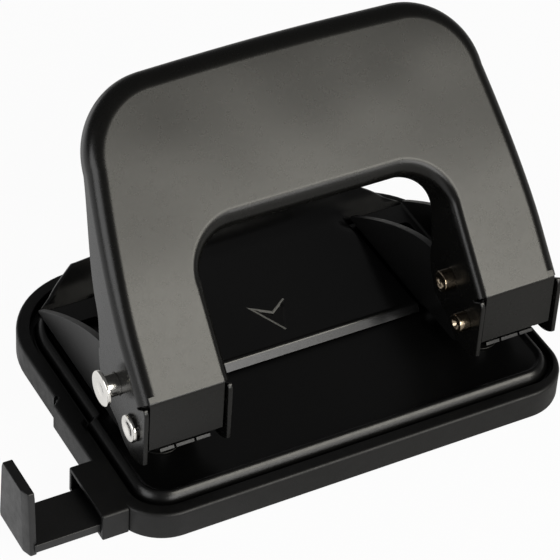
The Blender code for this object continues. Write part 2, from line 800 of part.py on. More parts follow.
def handle_ring(station, mirror):
    """One closed section of the sheet: outer skin from flange edge to flange edge, then the inner skin back."""
    (ox, os), (nx, ns), (ix, is_), (mx, ms), outer_bend, inner_bend = station
    outer_depth = outer_flange(os)
    inner_depth = inner_flange(is_)
    steps = 4

    def side(x, s, dx, ds, bend, depth, off):
        found = [(x - dx * off, s - ds * off, depth)]
        for i in range(steps + 1):
            turn = math.radians(90 * i / steps)
            back = bend - (bend - off) * math.cos(turn)
            found.append((x - dx * back, s - ds * back, bend - (bend - off) * math.sin(turn)))
        return found

    skin = side(ox, os, nx, ns, outer_bend, outer_depth, 0.0)
    skin += side(ix, is_, mx, ms, inner_bend, inner_depth, 0.0)[::-1]
    skin += side(ix, is_, mx, ms, inner_bend, inner_depth, HANDLE_SHEET)
    skin += side(ox, os, nx, ns, outer_bend, outer_depth, HANDLE_SHEET)[::-1]
    return [on_handle(mirror * x, s, depth) for x, s, depth in skin]


def ear_outline():
    """Side view of a flange's foot: a lobe round the handle's axis, with its front edge cut free of the face."""
    corner_y = EAR_FRONT - PIVOT_Y
    front = -180 + math.degrees(math.acos(-corner_y / EAR_R))
    outline = [(p.y, p.z) for p in (on_handle(0, 2.5, 5.0), on_handle(0, 12.0, 5.0), on_handle(0, 14.2, 14.0))]
    outline += [(EAR_REAR_Y + 1.0, DRIVE_Z + 2.6), (EAR_REAR_Y - 0.2, DRIVE_Z - 3.4), (EAR_REAR_Y - 3.6, PIVOT_Z - 3.6)]
    outline += arc((PIVOT_Y, PIVOT_Z), EAR_R, -35, front, 8)
    outline += [(EAR_FRONT, HANDLE_FOOT_Z - 2.2), (EAR_FRONT + 0.8, HANDLE_FOOT_Z - 0.9)]
    outline += [(p.y, p.z) for p in (on_handle(0, -0.5, 3.4),)]
    return outline


def panel_outline():
    """Side view of the lower front panel, whose top runs into the sloping face."""
    inside = PANEL_FRONT + HANDLE_SHEET
    top = on_handle(0, 1.5, 0.08)
    under = on_handle(0, 1.5, HANDLE_SHEET - 0.08)
    bend = on_handle(0, 0.2, 0.05)
    return [
        (PANEL_FRONT, PANEL_BOTTOM),
        (PANEL_FRONT, HANDLE_FOOT_Z - 0.9),
        (bend.y, bend.z),
        (top.y, top.z),
        (under.y, under.z),
        (inside, HANDLE_FOOT_Z - 0.6),
        (inside, PANEL_BOTTOM),
    ]


def make_handle(look):
    pivot = (0, PIVOT_Y, PIVOT_Z)
    right = handle_stations()
    rings = [handle_ring(station, 1) for station in right]
    rings += [handle_ring(station, -1) for station in right[-2::-1]]
    handle = add_object("handle", rings_to_solid(rings), look, pivot)
    sink = 0.04
    for side in (-1, 1):
        spans = ((LEG_INNER, LEG_INNER + HANDLE_SHEET), (LEG_OUTER - HANDLE_SHEET, LEG_OUTER))
        for which, (low, high) in enumerate(spans):
            ends = sorted((side * (low + sink), side * (high - sink)))
            boolean(handle, "UNION", helper(f"ear_{side}_{which}", prism_x(ear_outline(), *ends)))
        inner = LEG_INNER + HANDLE_SHEET + PANEL_SLIT
        outer = LEG_OUTER - HANDLE_SHEET - PANEL_SLIT
        ends = sorted((side * inner, side * outer))
        boolean(handle, "UNION", helper(f"panel_{side}", prism_x(panel_outline(), *ends)))
    reach = LEG_OUTER + 5
    for name, spot, radius in (
        ("pivot_bore", (PIVOT_Y, PIVOT_Z), PIVOT_PIN_R),
        ("drive_bore", (DRIVE_Y, DRIVE_Z), DRIVE_PIN_R),
    ):
        bore_r = radius + RUN_GAP
        boolean(handle, "DIFFERENCE", helper(name, turned([(bore_r, -reach), (bore_r, reach)], "X", spot)))
    return handle


def make_pin(name, side, spot, radius, head_r, head, stick_out, look):
    """A pin through one leg: flat head outside, dimpled end inside."""
    inner_end = LEG_INNER - PIN_END
    head_at = LEG_OUTER + SEAT_GAP + stick_out
    profile = [
        (0.5 * radius, inner_end + 0.5),
        (0.8 * radius, inner_end),
        (radius - 0.15, inner_end),
        (radius, inner_end + 0.15),
        (radius, head_at),
        (head_r, head_at),
        (head_r, head_at + 0.6 * head),
        (head_r - 0.4 * head, head_at + head),
    ]
    profile = [(r, side * x) for r, x in profile]
    return add_object(name, turned(profile, "X", spot), look, (side * head_at, *spot))


def make_lock_clip(look):
    """A ring in the push-in pin's end groove, which keeps the pin from being pulled out."""
    outer_face = -(LEG_INNER - SEAT_GAP)
    inner = DRIVE_PIN_R + RUN_GAP
    ring = tube(inner, CLIP_R, outer_face, outer_face + CLIP_SHEET, "X", (DRIVE_Y, DRIVE_Z))
    return add_object("lock_pin_clip", ring, look, (outer_face, DRIVE_Y, DRIVE_Z))


# ---------------------------------------------------------------- chip tray and paper guide


def make_tray(look):
    outer = tray_corners()
    inner = tray_inner_corners()
    ledge = tray_inner_corners(TRAY_LEDGE)
    rings = [
        at_height(rounded_loop(outer, 0.5), 0.0),
        at_height(rounded_loop(outer, 0.1), 0.5),
        at_height(rounded_loop(outer, 0.1), TRAY_HEIGHT - 0.7),
        at_height(rounded_loop(outer, 0.35), TRAY_HEIGHT - 0.2),
        at_height(rounded_loop(outer, 0.8), TRAY_HEIGHT),
        at_height(rounded_loop(inner, -0.2), TRAY_HEIGHT),
        at_height(rounded_loop(inner, 0.0), TRAY_HEIGHT - 0.2),
        at_height(rounded_loop(inner, 0.0), TRAY_LEDGE_Z),
        at_height(rounded_loop(ledge, 0.0), TRAY_LEDGE_Z),
        at_height(rounded_loop(ledge, 0.0), TRAY_FLOOR),
    ]
    hinge = (0, TRAY_REAR - TRAY_HINGE_IN, TRAY_HINGE_Z)
    tray = add_object("chip_tray", rings_to_solid(rings), look, hinge)
    boss_outline = [
        (BOSS_FRONT, 0.0),
        (BOSS_BACK, 0.0),
        (BOSS_BACK, TRAY_HEIGHT - 0.8),
        (BOSS_BACK - 0.8, TRAY_HEIGHT - 0.05),
        (BOSS_FRONT + 0.8, TRAY_HEIGHT - 0.05),
        (BOSS_FRONT, TRAY_HEIGHT - 0.8),
    ]
    boss = prism_x(boss_outline, BOSS_X, -TRAY_HALF + 1.4)
    boolean(tray, "UNION", helper("guide_boss", boss))
    mouth_low = (BOSS_X - 5, GUIDE_FRONT - SEAT_GAP, TRAY_FLOOR)
    mouth_high = (-TRAY_HALF - 0.2, BOSS_BACK - BOSS_WALL, TRAY_HEIGHT - BOSS_WALL)
    boolean(tray, "DIFFERENCE", helper("guide_mouth", box(mouth_low, mouth_high)))
    slot_top = GUIDE_BAR_Z + GUIDE_BAR + SEAT_GAP
    slot_high = (-TRAY_HALF + TRAY_WALL + TRAY_FRONT_CORNER, GUIDE_BACK + SEAT_GAP, slot_top)
    boolean(tray, "DIFFERENCE", helper("guide_slot", box(mouth_low, slot_high)))
    grip_low = (-TRAY_HALF - 2, TRAY_JOG_Y + 0.1, -1)
    grip_high = (-TRAY_HALF + SIDE_JOG + 1.0, TRAY_JOG_Y + 1.2, TRAY_HEIGHT + 1)
    boolean(tray, "DIFFERENCE", helper("grip_slit", box(grip_low, grip_high)))
    return tray


def make_paper_guide(look):
    """A flat bar that slides in the tray, with an upright plate that the paper's edge rests against."""
    bar_top = GUIDE_BAR_Z + GUIDE_BAR
    plate_in = GUIDE_PLATE_X + GUIDE_PLATE
    front = GUIDE_FRONT + 0.4
    chamfer = 0.8
    plate = [
        (GUIDE_PLATE_X, GUIDE_PLATE_BACK),
        (GUIDE_PLATE_X, front + 2.2),
        (GUIDE_PLATE_X + chamfer, front),
        (plate_in, front),
        (plate_in, GUIDE_PLATE_BACK),
    ]
    tall = GUIDE_PLATE_TOP
    rings = []
    for z, pull, back in ((GUIDE_PLATE_Z, 0.0, 0.3), (1.5, 0.0, 0.0), (tall - 1.6, 0.9, 1.2), (tall, 1.3, 1.8)):
        ring = []
        for x, y in plate:
            lean = pull if y < -20 else -back
            ring.append((x, y + lean, z))
        rings.append(ring)
    guide = add_object("paper_guide", rings_to_solid(rings), look, (plate_in, GUIDE_FRONT, GUIDE_BAR_Z))
    bar = box((plate_in - 0.6, GUIDE_FRONT, GUIDE_BAR_Z), (GUIDE_BAR_END, GUIDE_BACK, bar_top))
    boolean(guide, "UNION", helper("guide_bar", bar))
    return guide


# ---------------------------------------------------------------- assembly


def main():
    for old in list(bpy.data.objects):
        bpy.data.objects.remove(old)
    black_steel = material("black_steel", (0.02, 0.02, 0.021), 0.28, 0.1)
    handle_steel = material("handle_steel", (0.03, 0.03, 0.03), 0.35, 0.1)
    bright_steel = material("bright_steel", (0.78, 0.76, 0.72), 0.22, 1.0)
    tool_steel = material("tool_steel", (0.5, 0.5, 0.5), 0.3, 1.0)
    black_plastic = material("black_plastic", (0.018, 0.018, 0.019), 0.55)

    make_base_plate(black_steel)
    make_bridge(black_steel)
    make_handle(handle_steel)
    make_tray(black_plastic)
    make_paper_guide(black_plastic)
    for label, side in (("left", -1), ("right", 1)):
        make_tower(f"tower_{label}", side, handle_steel)
        make_guide_plate(f"punch_guide_{label}", side, bright_steel)
        make_die(f"die_{label}", side, tool_steel)
        make_punch(f"punch_{label}", side, tool_steel)
        make_spring(f"punch_spring_{label}", side, bright_steel)
        for place, across in (("inner", -side), ("outer", side)):
            x = side * HOLE_SPACING / 2 + across * RIVET_X
            make_rivet(f"tower_rivet_{label}_{place}", x, bright_steel)
        pivot = (PIVOT_Y, PIVOT_Z)
        make_pin(f"pivot_pin_{label}", side, pivot, PIVOT_PIN_R, PIVOT_HEAD_R, PIN_HEAD, 0.0, bright_steel)
    drive = (DRIVE_Y, DRIVE_Z)
    make_pin("drive_pin", 1, drive, DRIVE_PIN_R, DRIVE_HEAD_R, PIN_HEAD, 0.0, bright_steel)
    make_pin("lock_pin", -1, drive, DRIVE_PIN_R, LOCK_HEAD_R, LOCK_HEAD, LOCK_STICK_OUT - SEAT_GAP, bright_steel)
    make_lock_clip(bright_steel)


main()
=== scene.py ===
"""Looks of the two-hole desk punch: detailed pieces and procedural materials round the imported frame.

Lengths are millimetres up to raw_object, which makes metres of them; the studio is in metres from the start.
X runs along the width, Y to the rear and Z up.
"""

from math import acos, atan2, cos, degrees, exp, hypot, log1p, pi, radians, sin, tan

import bmesh
import bpy
from mathutils import Matrix, Quaternion, Vector


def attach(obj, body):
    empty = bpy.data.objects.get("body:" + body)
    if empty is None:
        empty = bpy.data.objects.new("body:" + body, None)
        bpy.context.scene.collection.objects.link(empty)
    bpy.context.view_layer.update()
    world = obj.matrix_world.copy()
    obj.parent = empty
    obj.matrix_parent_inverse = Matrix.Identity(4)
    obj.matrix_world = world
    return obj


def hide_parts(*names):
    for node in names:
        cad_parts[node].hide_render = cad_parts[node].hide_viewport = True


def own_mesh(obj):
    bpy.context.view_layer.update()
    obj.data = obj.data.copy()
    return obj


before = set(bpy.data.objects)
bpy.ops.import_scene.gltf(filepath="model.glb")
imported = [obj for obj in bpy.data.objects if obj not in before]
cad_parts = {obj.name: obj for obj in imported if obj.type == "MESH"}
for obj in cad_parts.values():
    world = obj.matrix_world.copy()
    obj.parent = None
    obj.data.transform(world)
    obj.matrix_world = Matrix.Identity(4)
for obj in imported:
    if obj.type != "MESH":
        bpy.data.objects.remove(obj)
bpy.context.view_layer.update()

MM = 0.001

# Paper and holes
HOLE_SPACING = 80.0
PUNCH_X = HOLE_SPACING / 2
HOLE_SETBACK = 12.0
PUNCH_R = 3.0
SLOT_HEIGHT = 2.5

# Running and resting clearances
SEAT_GAP = 0.3
RUN_GAP = 0.12
GUIDE_GAP = 0.2

# Chip tray
TRAY_FRONT = -34.2
TRAY_REAR = 46.5
TRAY_BESIDE = 16.2
TRAY_HALF = PUNCH_X + TRAY_BESIDE
TRAY_HEIGHT = 7.0
TRAY_FLOOR = 1.2
TRAY_WALL = 3.2
TRAY_RIGHT_WALL = 1.2
TRAY_RIGHT_TRIM = 0.9
TRAY_FRONT_CORNER = 11.5
TRAY_REAR_CORNER = 21.0
TRAY_LEDGE_Z = 4.7
TRAY_LEDGE = 2.5
SIDE_JOG = 1.2
TRAY_JOG_Y = 8.5

# Base plate
BASE_TOP = 7.3
BASE_SHEET = 1.2
BASE_GROOVE = 0.7
BASE_RIGHT_TRIM = 0.6
BASE_RIM = 0.75
BASE_REAR_CUT = 33.9
BASE_JOG_Y = 0.5
BASE_SKIRT_Z = TRAY_LEDGE_Z + SEAT_GAP
FOOT_Z = BASE_TOP + SEAT_GAP
SLOT_TOP = BASE_TOP + SLOT_HEIGHT

# Bridge with the paper stop
BRIDGE_TOP = SLOT_TOP
BRIDGE_SHEET = 1.0
BRIDGE_BEND = 1.4
STOP_LEAN = 1.35
BRIDGE_WING_Y = 34.2
BRIDGE_WING_RUN = 2.0
BRIDGE_WING_BESIDE = 7.2
BRIDGE_WING_HALF = PUNCH_X + BRIDGE_WING_BESIDE
BRIDGE_WING_NARROWING = 12.5
BRIDGE_REAR = 42.7
BRIDGE_CREST = 13.8
BRIDGE_FOLD = 2.0
BRIDGE_CORNER_DROP = 0.6
BRIDGE_ROWS = 26
BRIDGE_COLUMNS = 48
WING_STEPS = 14
BEND_STEPS = 6

# Centre mark
ARROW_LENGTH = 9.2
ARROW_NOTCH = 3.0
ARROW_HALF = 4.2
ARROW_SETBACK = 5.4
ARROW_DEPTH = 0.45
ARROW_EDGE_HALF = 0.24

# Punching towers
TOWER_HALF = 7.7
BRIDGE_HALF = PUNCH_X - TOWER_HALF - 2 * SEAT_GAP  # between the towers
TOWER_SHEET = 1.5
TOWER_BEND = 2.2
TOWER_REAR = 33.9
TOWER_FOOT_Y = 0.5
TOWER_REAR_Z = 9.8
TOWER_TOP_Z = 26.9
TOWER_FRONT_REACH = 3.55
TOWER_MOUTH_Z = 17.3
TOWER_MOUTH_Y = -13.5
TOWER_NOTCH_RISE = 7.2
TOWER_WINDOW = (8.0, 27.5, 4.3)  # first y, last y and half-width of the hole in the foot
TOWER_WINDOW_CORNER = 1.2
RIVET_R = 1.5
RIVET_HEAD_R = 2.4
RIVET_HEAD = 0.9
RIVET_Y = 4.4
RIVET_X = 3.1
RIVET_SIDES = 24

# Punch, die, guide and spring
DIE_WALL = 1.6
DIE_HEIGHT = 3.1
GUIDE_SHEET = 1.2
GUIDE_BEND = 1.6
PUNCH_TIP_LIFT = 0.2
PUNCH_HEAD_R = 4.5
PUNCH_HEAD = 2.2
PUNCH_HOLLOW = 0.8
SPRING_WIRE_R = 0.42
SPRING_TURNS = 4.5
SPRING_CLOSED_TURNS = 0.8
SPRING_SIDES = 14

# Handle axis, drive pin and handle sheet
PIVOT_Y = -20.4
PIVOT_Z = 22.0
DRIVE_Y = -12.7
DRIVE_Z = 28.0
PIVOT = (PIVOT_Y, PIVOT_Z)
DRIVE = (DRIVE_Y, DRIVE_Z)
PIVOT_PIN_R = 2.2
DRIVE_PIN_R = 2.5
PUNCH_TOP = DRIVE_Z - DRIVE_PIN_R - 0.1
PUNCH_TIP = SLOT_TOP + PUNCH_TIP_LIFT
SPRING_LOW = SLOT_TOP + GUIDE_GAP + GUIDE_SHEET + SEAT_GAP + SPRING_WIRE_R
SPRING_HIGH = PUNCH_TOP - PUNCH_HEAD - SEAT_GAP - SPRING_WIRE_R
HANDLE_SHEET = 1.1
HANDLE_FOOT_Y = -25.0
HANDLE_FOOT_Z = 31.8
HANDLE_SLOPE = radians(48.2)
HANDLE_LENGTH = 66.8
HANDLE_CROWN = 0.5
LEG_OUTSIDE = 10.8
LEG_INSIDE = 9.8
LEG_OUTER = PUNCH_X + LEG_OUTSIDE
LEG_INNER = PUNCH_X - LEG_INSIDE
LEG_TAPER = 3.4
LEG_TAPER_FROM = 12.0
ARCH_TOP = 30.4
ARCH_CORNER = 10.0
SHOULDER_R = 18.0
SHOULDER_START = 0.34  # share of the arch corner that is passed where the shoulder begins
OUTER_BENDS = (3.5, 4.2)  # bend radii at the foot and at the crown
INNER_BENDS = (2.2, 4.0)
HANDLE_LIP = 0.3
PANEL_FRONT = -25.2
PANEL_BOTTOM = 18.7
PANEL_SLIT = 0.5
FLANGE_FOOT = 17.0
FLANGE_MIDDLE = 12.0
FLANGE_TOP = 5.6
FLANGE_ARCH = 7.0
FLANGE_FIRST_STEP = (10.0, 22.0)
FLANGE_SECOND_STEP = (20.0, 52.0)
FLANGE_FALL = 0.63
FLANGE_FALL_FROM = 12.3
FLANGE_BLEND = 1.5
EAR_FRONT = -26.0
EAR_R = 8.3
EAR_REAR_Y = -4.6

# Pins
PIN_HEAD = 0.8
PIVOT_HEAD_R = 3.1
DRIVE_HEAD_R = 3.4
LOCK_STICK_OUT = 3.1
LOCK_HEAD_R = 4.0
LOCK_HEAD = 0.8
PIN_END = 2.6
CLIP_R = 3.6
CLIP_SHEET = 0.6

# Paper guide
GUIDE_FRONT = -27.0
GUIDE_BACK = -15.2
GUIDE_BAR_Z = 1.5
GUIDE_BAR = 2.2
GUIDE_PLATE_X = -77.6
GUIDE_PLATE = 2.3
GUIDE_PLATE_TOP = 17.5
GUIDE_PLATE_BACK = -12.4
GUIDE_PLATE_Z = 0.5
GUIDE_BAR_END = 31.0
BOSS_REACH = 4.8
BOSS_X = -TRAY_HALF - BOSS_REACH
BOSS_FRONT = -28.3
BOSS_BACK = -11.4
BOSS_WALL = 1.0

# Surfaces: noise scales per metre and bump heights in metres
SAG_SCALE = 26.0
SAG_HEIGHT = 0.0013
PEEL_SCALE = 500.0
PEEL_HEIGHT = 0.0002
GRAIN_SCALE = 2600.0
GRAIN_STRENGTH = 0.35
GRAIN_HEIGHT = 0.0001
MARK_SCALE = 2400.0
MARK_HEIGHT = 0.00006

# View and light: angles in degrees, the lens in millimetres and lengths in metres
CAMERA_AZIMUTH = -30.501
CAMERA_ELEVATION = 40.744
CAMERA_ROLL = 3.941
CAMERA_LENS = 189.13
CAMERA_PLACE = (-0.25124, -0.41715, 0.44750)
FLOOR_RADIUS = 6.0
FLOOR_GREY = 0.75
FLOOR_GLOW = 0.96
MIRRORED_GLOW = 0.15
# Painted reflection: the floor's glow in reflections, bright to the object's left
LEFT_GLOW = 0.95
LEFT_GLOW_SPAN = (-0.085, -0.015)  # x over which the floor goes from one glow to the other
ROOM_GREY = 0.03
ROOM_MIRRORED = 0.11
ROOM_HEIGHT = 1.35
ROOM_RADIUS = 2.6
ROOM_OPENING = 0.35
WORLD_LIGHT = 0.3
SOFTBOX_AIM = (0.0, 0.0, 0.02)


def rings_to_solid(rings, capped=True):
    """Joins rings of equally many points into a skin; the first and last ring are closed by a face."""
    count = len(rings[0])
    points = [point for ring in rings for point in ring]
    faces = []
    pairs = len(rings) - 1 if capped else len(rings)
    for k in range(pairs):
        low = k * count
        high = (k + 1) % len(rings) * count
        for i in range(count):
            j = (i + 1) % count
            faces.append((low + i, low + j, high + j, high + i))
    if capped:
        faces.append(tuple(range(count))[::-1])
        faces.append(tuple(range((len(rings) - 1) * count, len(rings) * count)))
    return points, faces


def prism_x(outline, low, high):
    """A prism along X over an outline of (y, z) points."""
    return rings_to_solid([[(x, y, z) for y, z in outline] for x in (low, high)])


def box(low, high):
    outline = [(low[1], low[2]), (high[1], low[2]), (high[1], high[2]), (low[1], high[2])]
    return prism_x(outline, low[0], high[0])


def arc(centre, radius, start, end, steps):
    """Points on an arc in a plane, angles in degrees."""
    found = []
    for i in range(steps + 1):
        turn = radians(start + (end - start) * i / steps)
        found.append((centre[0] + radius * cos(turn), centre[1] + radius * sin(turn)))
    return found


def flow(knots, parts):
    """A smooth curve through knots of any dimension, with parts steps between two of them."""
    knots = [Vector(k) for k in knots]
    ends = [knots[0] * 2 - knots[1]] + knots + [knots[-1] * 2 - knots[-2]]
    found = []
    for p0, p1, p2, p3 in zip(ends, ends[1:], ends[2:], ends[3:]):
        d1 = (p2 - p1).length
        m1 = (p2 - p0) * (d1 / (d1 + (p1 - p0).length))
        m2 = (p3 - p1) * (d1 / ((p3 - p2).length + d1))
        for i in range(parts):
            t = i / parts
            a = 2 * t**3 - 3 * t**2 + 1
            b = t**3 - 2 * t**2 + t
            c = -2 * t**3 + 3 * t**2
            d = t**3 - t**2
            found.append(p1 * a + m1 * b + p2 * c + m2 * d)
    found.append(knots[-1])
    return found


def turned(profile, axis, centre, sides=56, capped=True):
    """A solid of revolution. profile holds (radius, distance along the axis) from one end to the other."""
    rings = []
    for radius, along in profile:
        circle = arc(centre, radius, 0, 360 * (sides - 1) / sides, sides - 1)
        rings.append([(along, u, v) if axis == "X" else (u, v, along) for u, v in circle])
    return rings_to_solid(rings, capped)


def tube(inner, outer, low, high, axis, centre):
    """A ring with a square section."""
    return turned([(inner, low), (outer, low), (outer, high), (inner, high)], axis, centre, capped=False)


def rounded_loop(corners, inset=0.0, steps=18):
    """Points round a polygon of (x, y, radius) corners, counter-clockwise, moved inwards by inset.

    A corner of radius 0 stays one point. A rounded corner keeps its centre, so insets run parallel.
    """
    loop = []
    for (*before, _), (*here, radius), (*after, _) in zip(corners[-1:] + corners, corners, corners[1:] + corners[:1]):
        here = Vector(here)
        into = (here - Vector(before)).normalized()
        out = (Vector(after) - here).normalized()
        normal_in = Vector((-into.y, into.x))
        normal_out = Vector((-out.y, out.x))
        miter = (normal_in + normal_out) / (1 + normal_in.dot(normal_out))
        if radius == 0:
            loop.append(here + miter * inset)
            continue
        side = 1 if into.x * out.y - into.y * out.x > 0 else -1
        centre = here + miter * radius * side
        start = atan2(*(-normal_in * side).yx)
        sweep = -into.angle_signed(out)
        reach = radius - inset * side
        for i in range(steps + 1):
            turn = start + sweep * i / steps
            loop.append(centre + Vector((cos(turn), sin(turn))) * reach)
    return loop


def at_height(loop, z):
    return [(p.x, p.y, z) for p in loop]


def smooth(value, low, high):
    t = min(max((value - low) / (high - low), 0.0), 1.0)
    return t * t * (3 - 2 * t)


def spread(low, high, count):
    return [low + (high - low) * n / count for n in range(count + 1)]


# ---- building pieces


def new_object(name, data):
    made = bpy.data.objects.new(name, data)
    bpy.context.scene.collection.objects.link(made)
    return made


def raw_object(name, mesh_data):
    points, faces = mesh_data
    mesh = bpy.data.meshes.new(name)
    mesh.from_pydata([Vector(p) * MM for p in points], [], faces)
    work = bmesh.new()
    work.from_mesh(mesh)
    bmesh.ops.recalc_face_normals(work, faces=work.faces)
    work.to_mesh(mesh)
    work.free()
    return new_object(name, mesh)


def solid(name, rings):
    return raw_object(name, rings_to_solid(rings))


def settle(target):
    """Replaces the mesh by what its modifiers make of it."""
    graph = bpy.context.evaluated_depsgraph_get()
    done = bpy.data.meshes.new_from_object(target.evaluated_get(graph))
    target.modifiers.clear()
    target.data = done
    return target


def soften(target, width, segments=3, angle=50):
    """Rounds a piece's edges with a bevel of the given width."""
    step = target.modifiers.new("bevel", "BEVEL")
    step.width = width * MM
    step.segments = segments
    step.limit_method = "ANGLE"
    step.angle_limit = radians(angle)
    step.use_clamp_overlap = True
    return settle(target)


def boolean(target, other, operation="DIFFERENCE"):
    """Cuts or joins with another object, which is used up, or with mesh data."""
    if not isinstance(other, bpy.types.Object):
        other = raw_object("cutter", other)
    step = target.modifiers.new("boolean", "BOOLEAN")
    step.operation = operation
    step.solver = "EXACT"
    step.object = other
    settle(target)
    bpy.data.objects.remove(other)
    return target


def drill(target, radius, low, high, axis, spot, sides=56):
    """Cuts a round hole through a piece."""
    return boolean(target, turned([(radius, low), (radius, high)], axis, spot, sides))


def finish_piece(target, look, body, nodes=(), angle=32, weighted=True):
    """Smooth shading, material, body and the CAD nodes that the piece stands for."""
    mesh = target.data
    mesh.shade_smooth()
    mesh.set_sharp_from_angle(angle=radians(angle))
    mesh.materials.clear()
    mesh.materials.append(look)
    if weighted:
        step = target.modifiers.new("even_normals", "WEIGHTED_NORMAL")
        step.keep_sharp = True
    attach(target, body)
    if nodes:
        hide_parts(*nodes)


# ---- base plate and the outlines it shares with the tray


def plate_corners(half, front, rear, radii, jog_y, right_half):
    """Corners of a plate whose left side steps in at jog_y; radii are those of its front and rear corners."""
    front_r, rear_r = radii
    return [
        (right_half, front, front_r),
        (right_half, rear, rear_r),
        (SIDE_JOG - half, rear, rear_r),
        (SIDE_JOG - half, jog_y, 0),
        (-half, jog_y - SIDE_JOG, 0),
        (-half, front, front_r),
    ]


def tray_corners():
    radii = (TRAY_FRONT_CORNER, TRAY_REAR_CORNER)
    right_half = TRAY_HALF - TRAY_RIGHT_TRIM - TRAY_WALL + TRAY_RIGHT_WALL
    return plate_corners(TRAY_HALF, TRAY_FRONT, TRAY_REAR, radii, TRAY_JOG_Y, right_half)


def inner_corners(inset, rear_r, right_trim):
    """Corners of an outline inside the tray, for its rim, its ledge and the base plate."""
    half = TRAY_HALF - inset
    radii = (TRAY_FRONT_CORNER - TRAY_WALL, rear_r)
    return plate_corners(half, TRAY_FRONT + inset, TRAY_REAR - inset, radii, BASE_JOG_Y, half - right_trim)


def make_base_plate():
    under = BASE_TOP - BASE_SHEET
    rolled = [(3.5, 0.0), (3.2, 0.12), (2.85, 0.48), (2.45, BASE_RIM), (2.0, 0.62), (1.6, 0.27)]
    rolled += [(1.25, -0.15), (0.95, -0.65), (0.7, -1.2), (0.5, -1.7), (0.3, -2.0)]
    profile = flow([(inset, BASE_TOP + rise) for inset, rise in rolled], 4)
    profile += [(0.0, BASE_SKIRT_Z + 0.2), (0.2, BASE_SKIRT_Z), (BASE_SHEET - 0.2, BASE_SKIRT_Z)]
    profile += [(BASE_SHEET, BASE_SKIRT_Z + 0.2), (BASE_SHEET, under - 0.6), (BASE_SHEET + 0.6, under)]
    inset = TRAY_WALL + BASE_GROOVE
    corners = inner_corners(inset, TRAY_REAR_CORNER - inset, BASE_RIGHT_TRIM)
    rings = [at_height(rounded_loop(corners, further_in), z) for further_in, z in profile]
    plate = solid("base_plate_pressed", rings)
    reach = TRAY_HALF + 10
    boolean(plate, box((-reach, BASE_REAR_CUT, -5), (reach, BASE_REAR_CUT + 30, 20)))
    low, high = under - 3, BASE_TOP + 3
    seat_r = PUNCH_R + RUN_GAP + DIE_WALL + SEAT_GAP
    for side in (-1, 1):
        middle = side * PUNCH_X
        drill(plate, seat_r, low, high, "Z", (middle, -HOLE_SETBACK))
        for across in (-RIVET_X, RIVET_X):
            drill(plate, RIVET_R + RUN_GAP, low, high, "Z", (middle + across, RIVET_Y), RIVET_SIDES)
    return plate


# ---- bridge


def bridge_height(x, y):
    """Height of the bridge's top: flat behind the stop, then a straight ramp that rises to the rear edge."""
    edge = BRIDGE_HALF
    beside = smooth(abs(x), edge - 4.0, edge + 3.0) * smooth(y, BRIDGE_WING_Y - 6.0, BRIDGE_WING_Y)
    level = BRIDGE_TOP + (FOOT_Z - BRIDGE_SHEET - BRIDGE_TOP) * beside
    up_ramp = (y - BRIDGE_WING_Y) / (BRIDGE_REAR - BRIDGE_BEND - BRIDGE_WING_Y)
    ramp = FOOT_Z + (BRIDGE_CREST - FOOT_Z) * up_ramp
    near = max(BRIDGE_FOLD - abs(level - ramp), 0.0)
    corner = smooth(abs(x), edge - 3.0, edge + 5.0) * smooth(up_ramp, 0.5, 1.0)
    return max(level, ramp) + near * near / (4 * BRIDGE_FOLD) - BRIDGE_CORNER_DROP * corner


def wing_edge(y):
    """Half-width of the wing, which narrows towards the rear."""
    share = (y - BRIDGE_WING_Y) / (BRIDGE_REAR - BRIDGE_WING_Y)
    return BRIDGE_WING_HALF - BRIDGE_WING_NARROWING * max(share, 0.0) ** 1.25


def bend_profile(turn, bottom_drop):
    """Outer and inner skin of a flange as (out, drop) pairs from the top's edge, for a bend through turn."""
    skins = []
    for radius, lowered in ((BRIDGE_BEND, 0.0), (BRIDGE_BEND - BRIDGE_SHEET, BRIDGE_SHEET)):
        angles = spread(0.0, turn, BEND_STEPS)
        skin = [(radius * sin(angle), lowered + radius * (1 - cos(angle))) for angle in angles]
        out, drop = skin[-1]
        skins.append(skin + [(out + (bottom_drop - drop) / tan(turn), bottom_drop)])
    return skins


def ramp_profile(run, bottom_drop):
    """Outer and inner skin of a straight ramp down to the sheet's edge, as (out, drop) pairs."""
    skins = []
    for lowered in (0.0, BRIDGE_SHEET):
        drop = bottom_drop - lowered
        outs = spread(0.0, run * drop / bottom_drop, BEND_STEPS + 1)
        skins.append(list(zip(outs, spread(lowered, bottom_drop, BEND_STEPS + 1))))
    return skins


def bridge_grid():
    """Points of the bridge's top inside its bends, row by row from the stop to the rear, as (x, y)."""
    edge = BRIDGE_HALF - BRIDGE_BEND
    lean = atan2(BRIDGE_TOP - FOOT_Z, STOP_LEAN)
    front = STOP_LEAN + BRIDGE_BEND * tan(lean / 2)
    wing_front = BRIDGE_WING_Y + BRIDGE_WING_RUN
    inner = spread(-edge, edge, BRIDGE_COLUMNS)
    grid = [[(x, y) for x in inner] for y in spread(front, wing_front - 1.2, BRIDGE_ROWS)]
    for y in spread(wing_front, BRIDGE_REAR - BRIDGE_BEND, WING_STEPS):
        reach = wing_edge(y) - 1.25 * BRIDGE_BEND
        outer = spread(edge, reach, WING_STEPS)[1:]
        grid.append([(x, y) for x in [-x for x in reversed(outer)] + inner + outer])
    return grid, lean


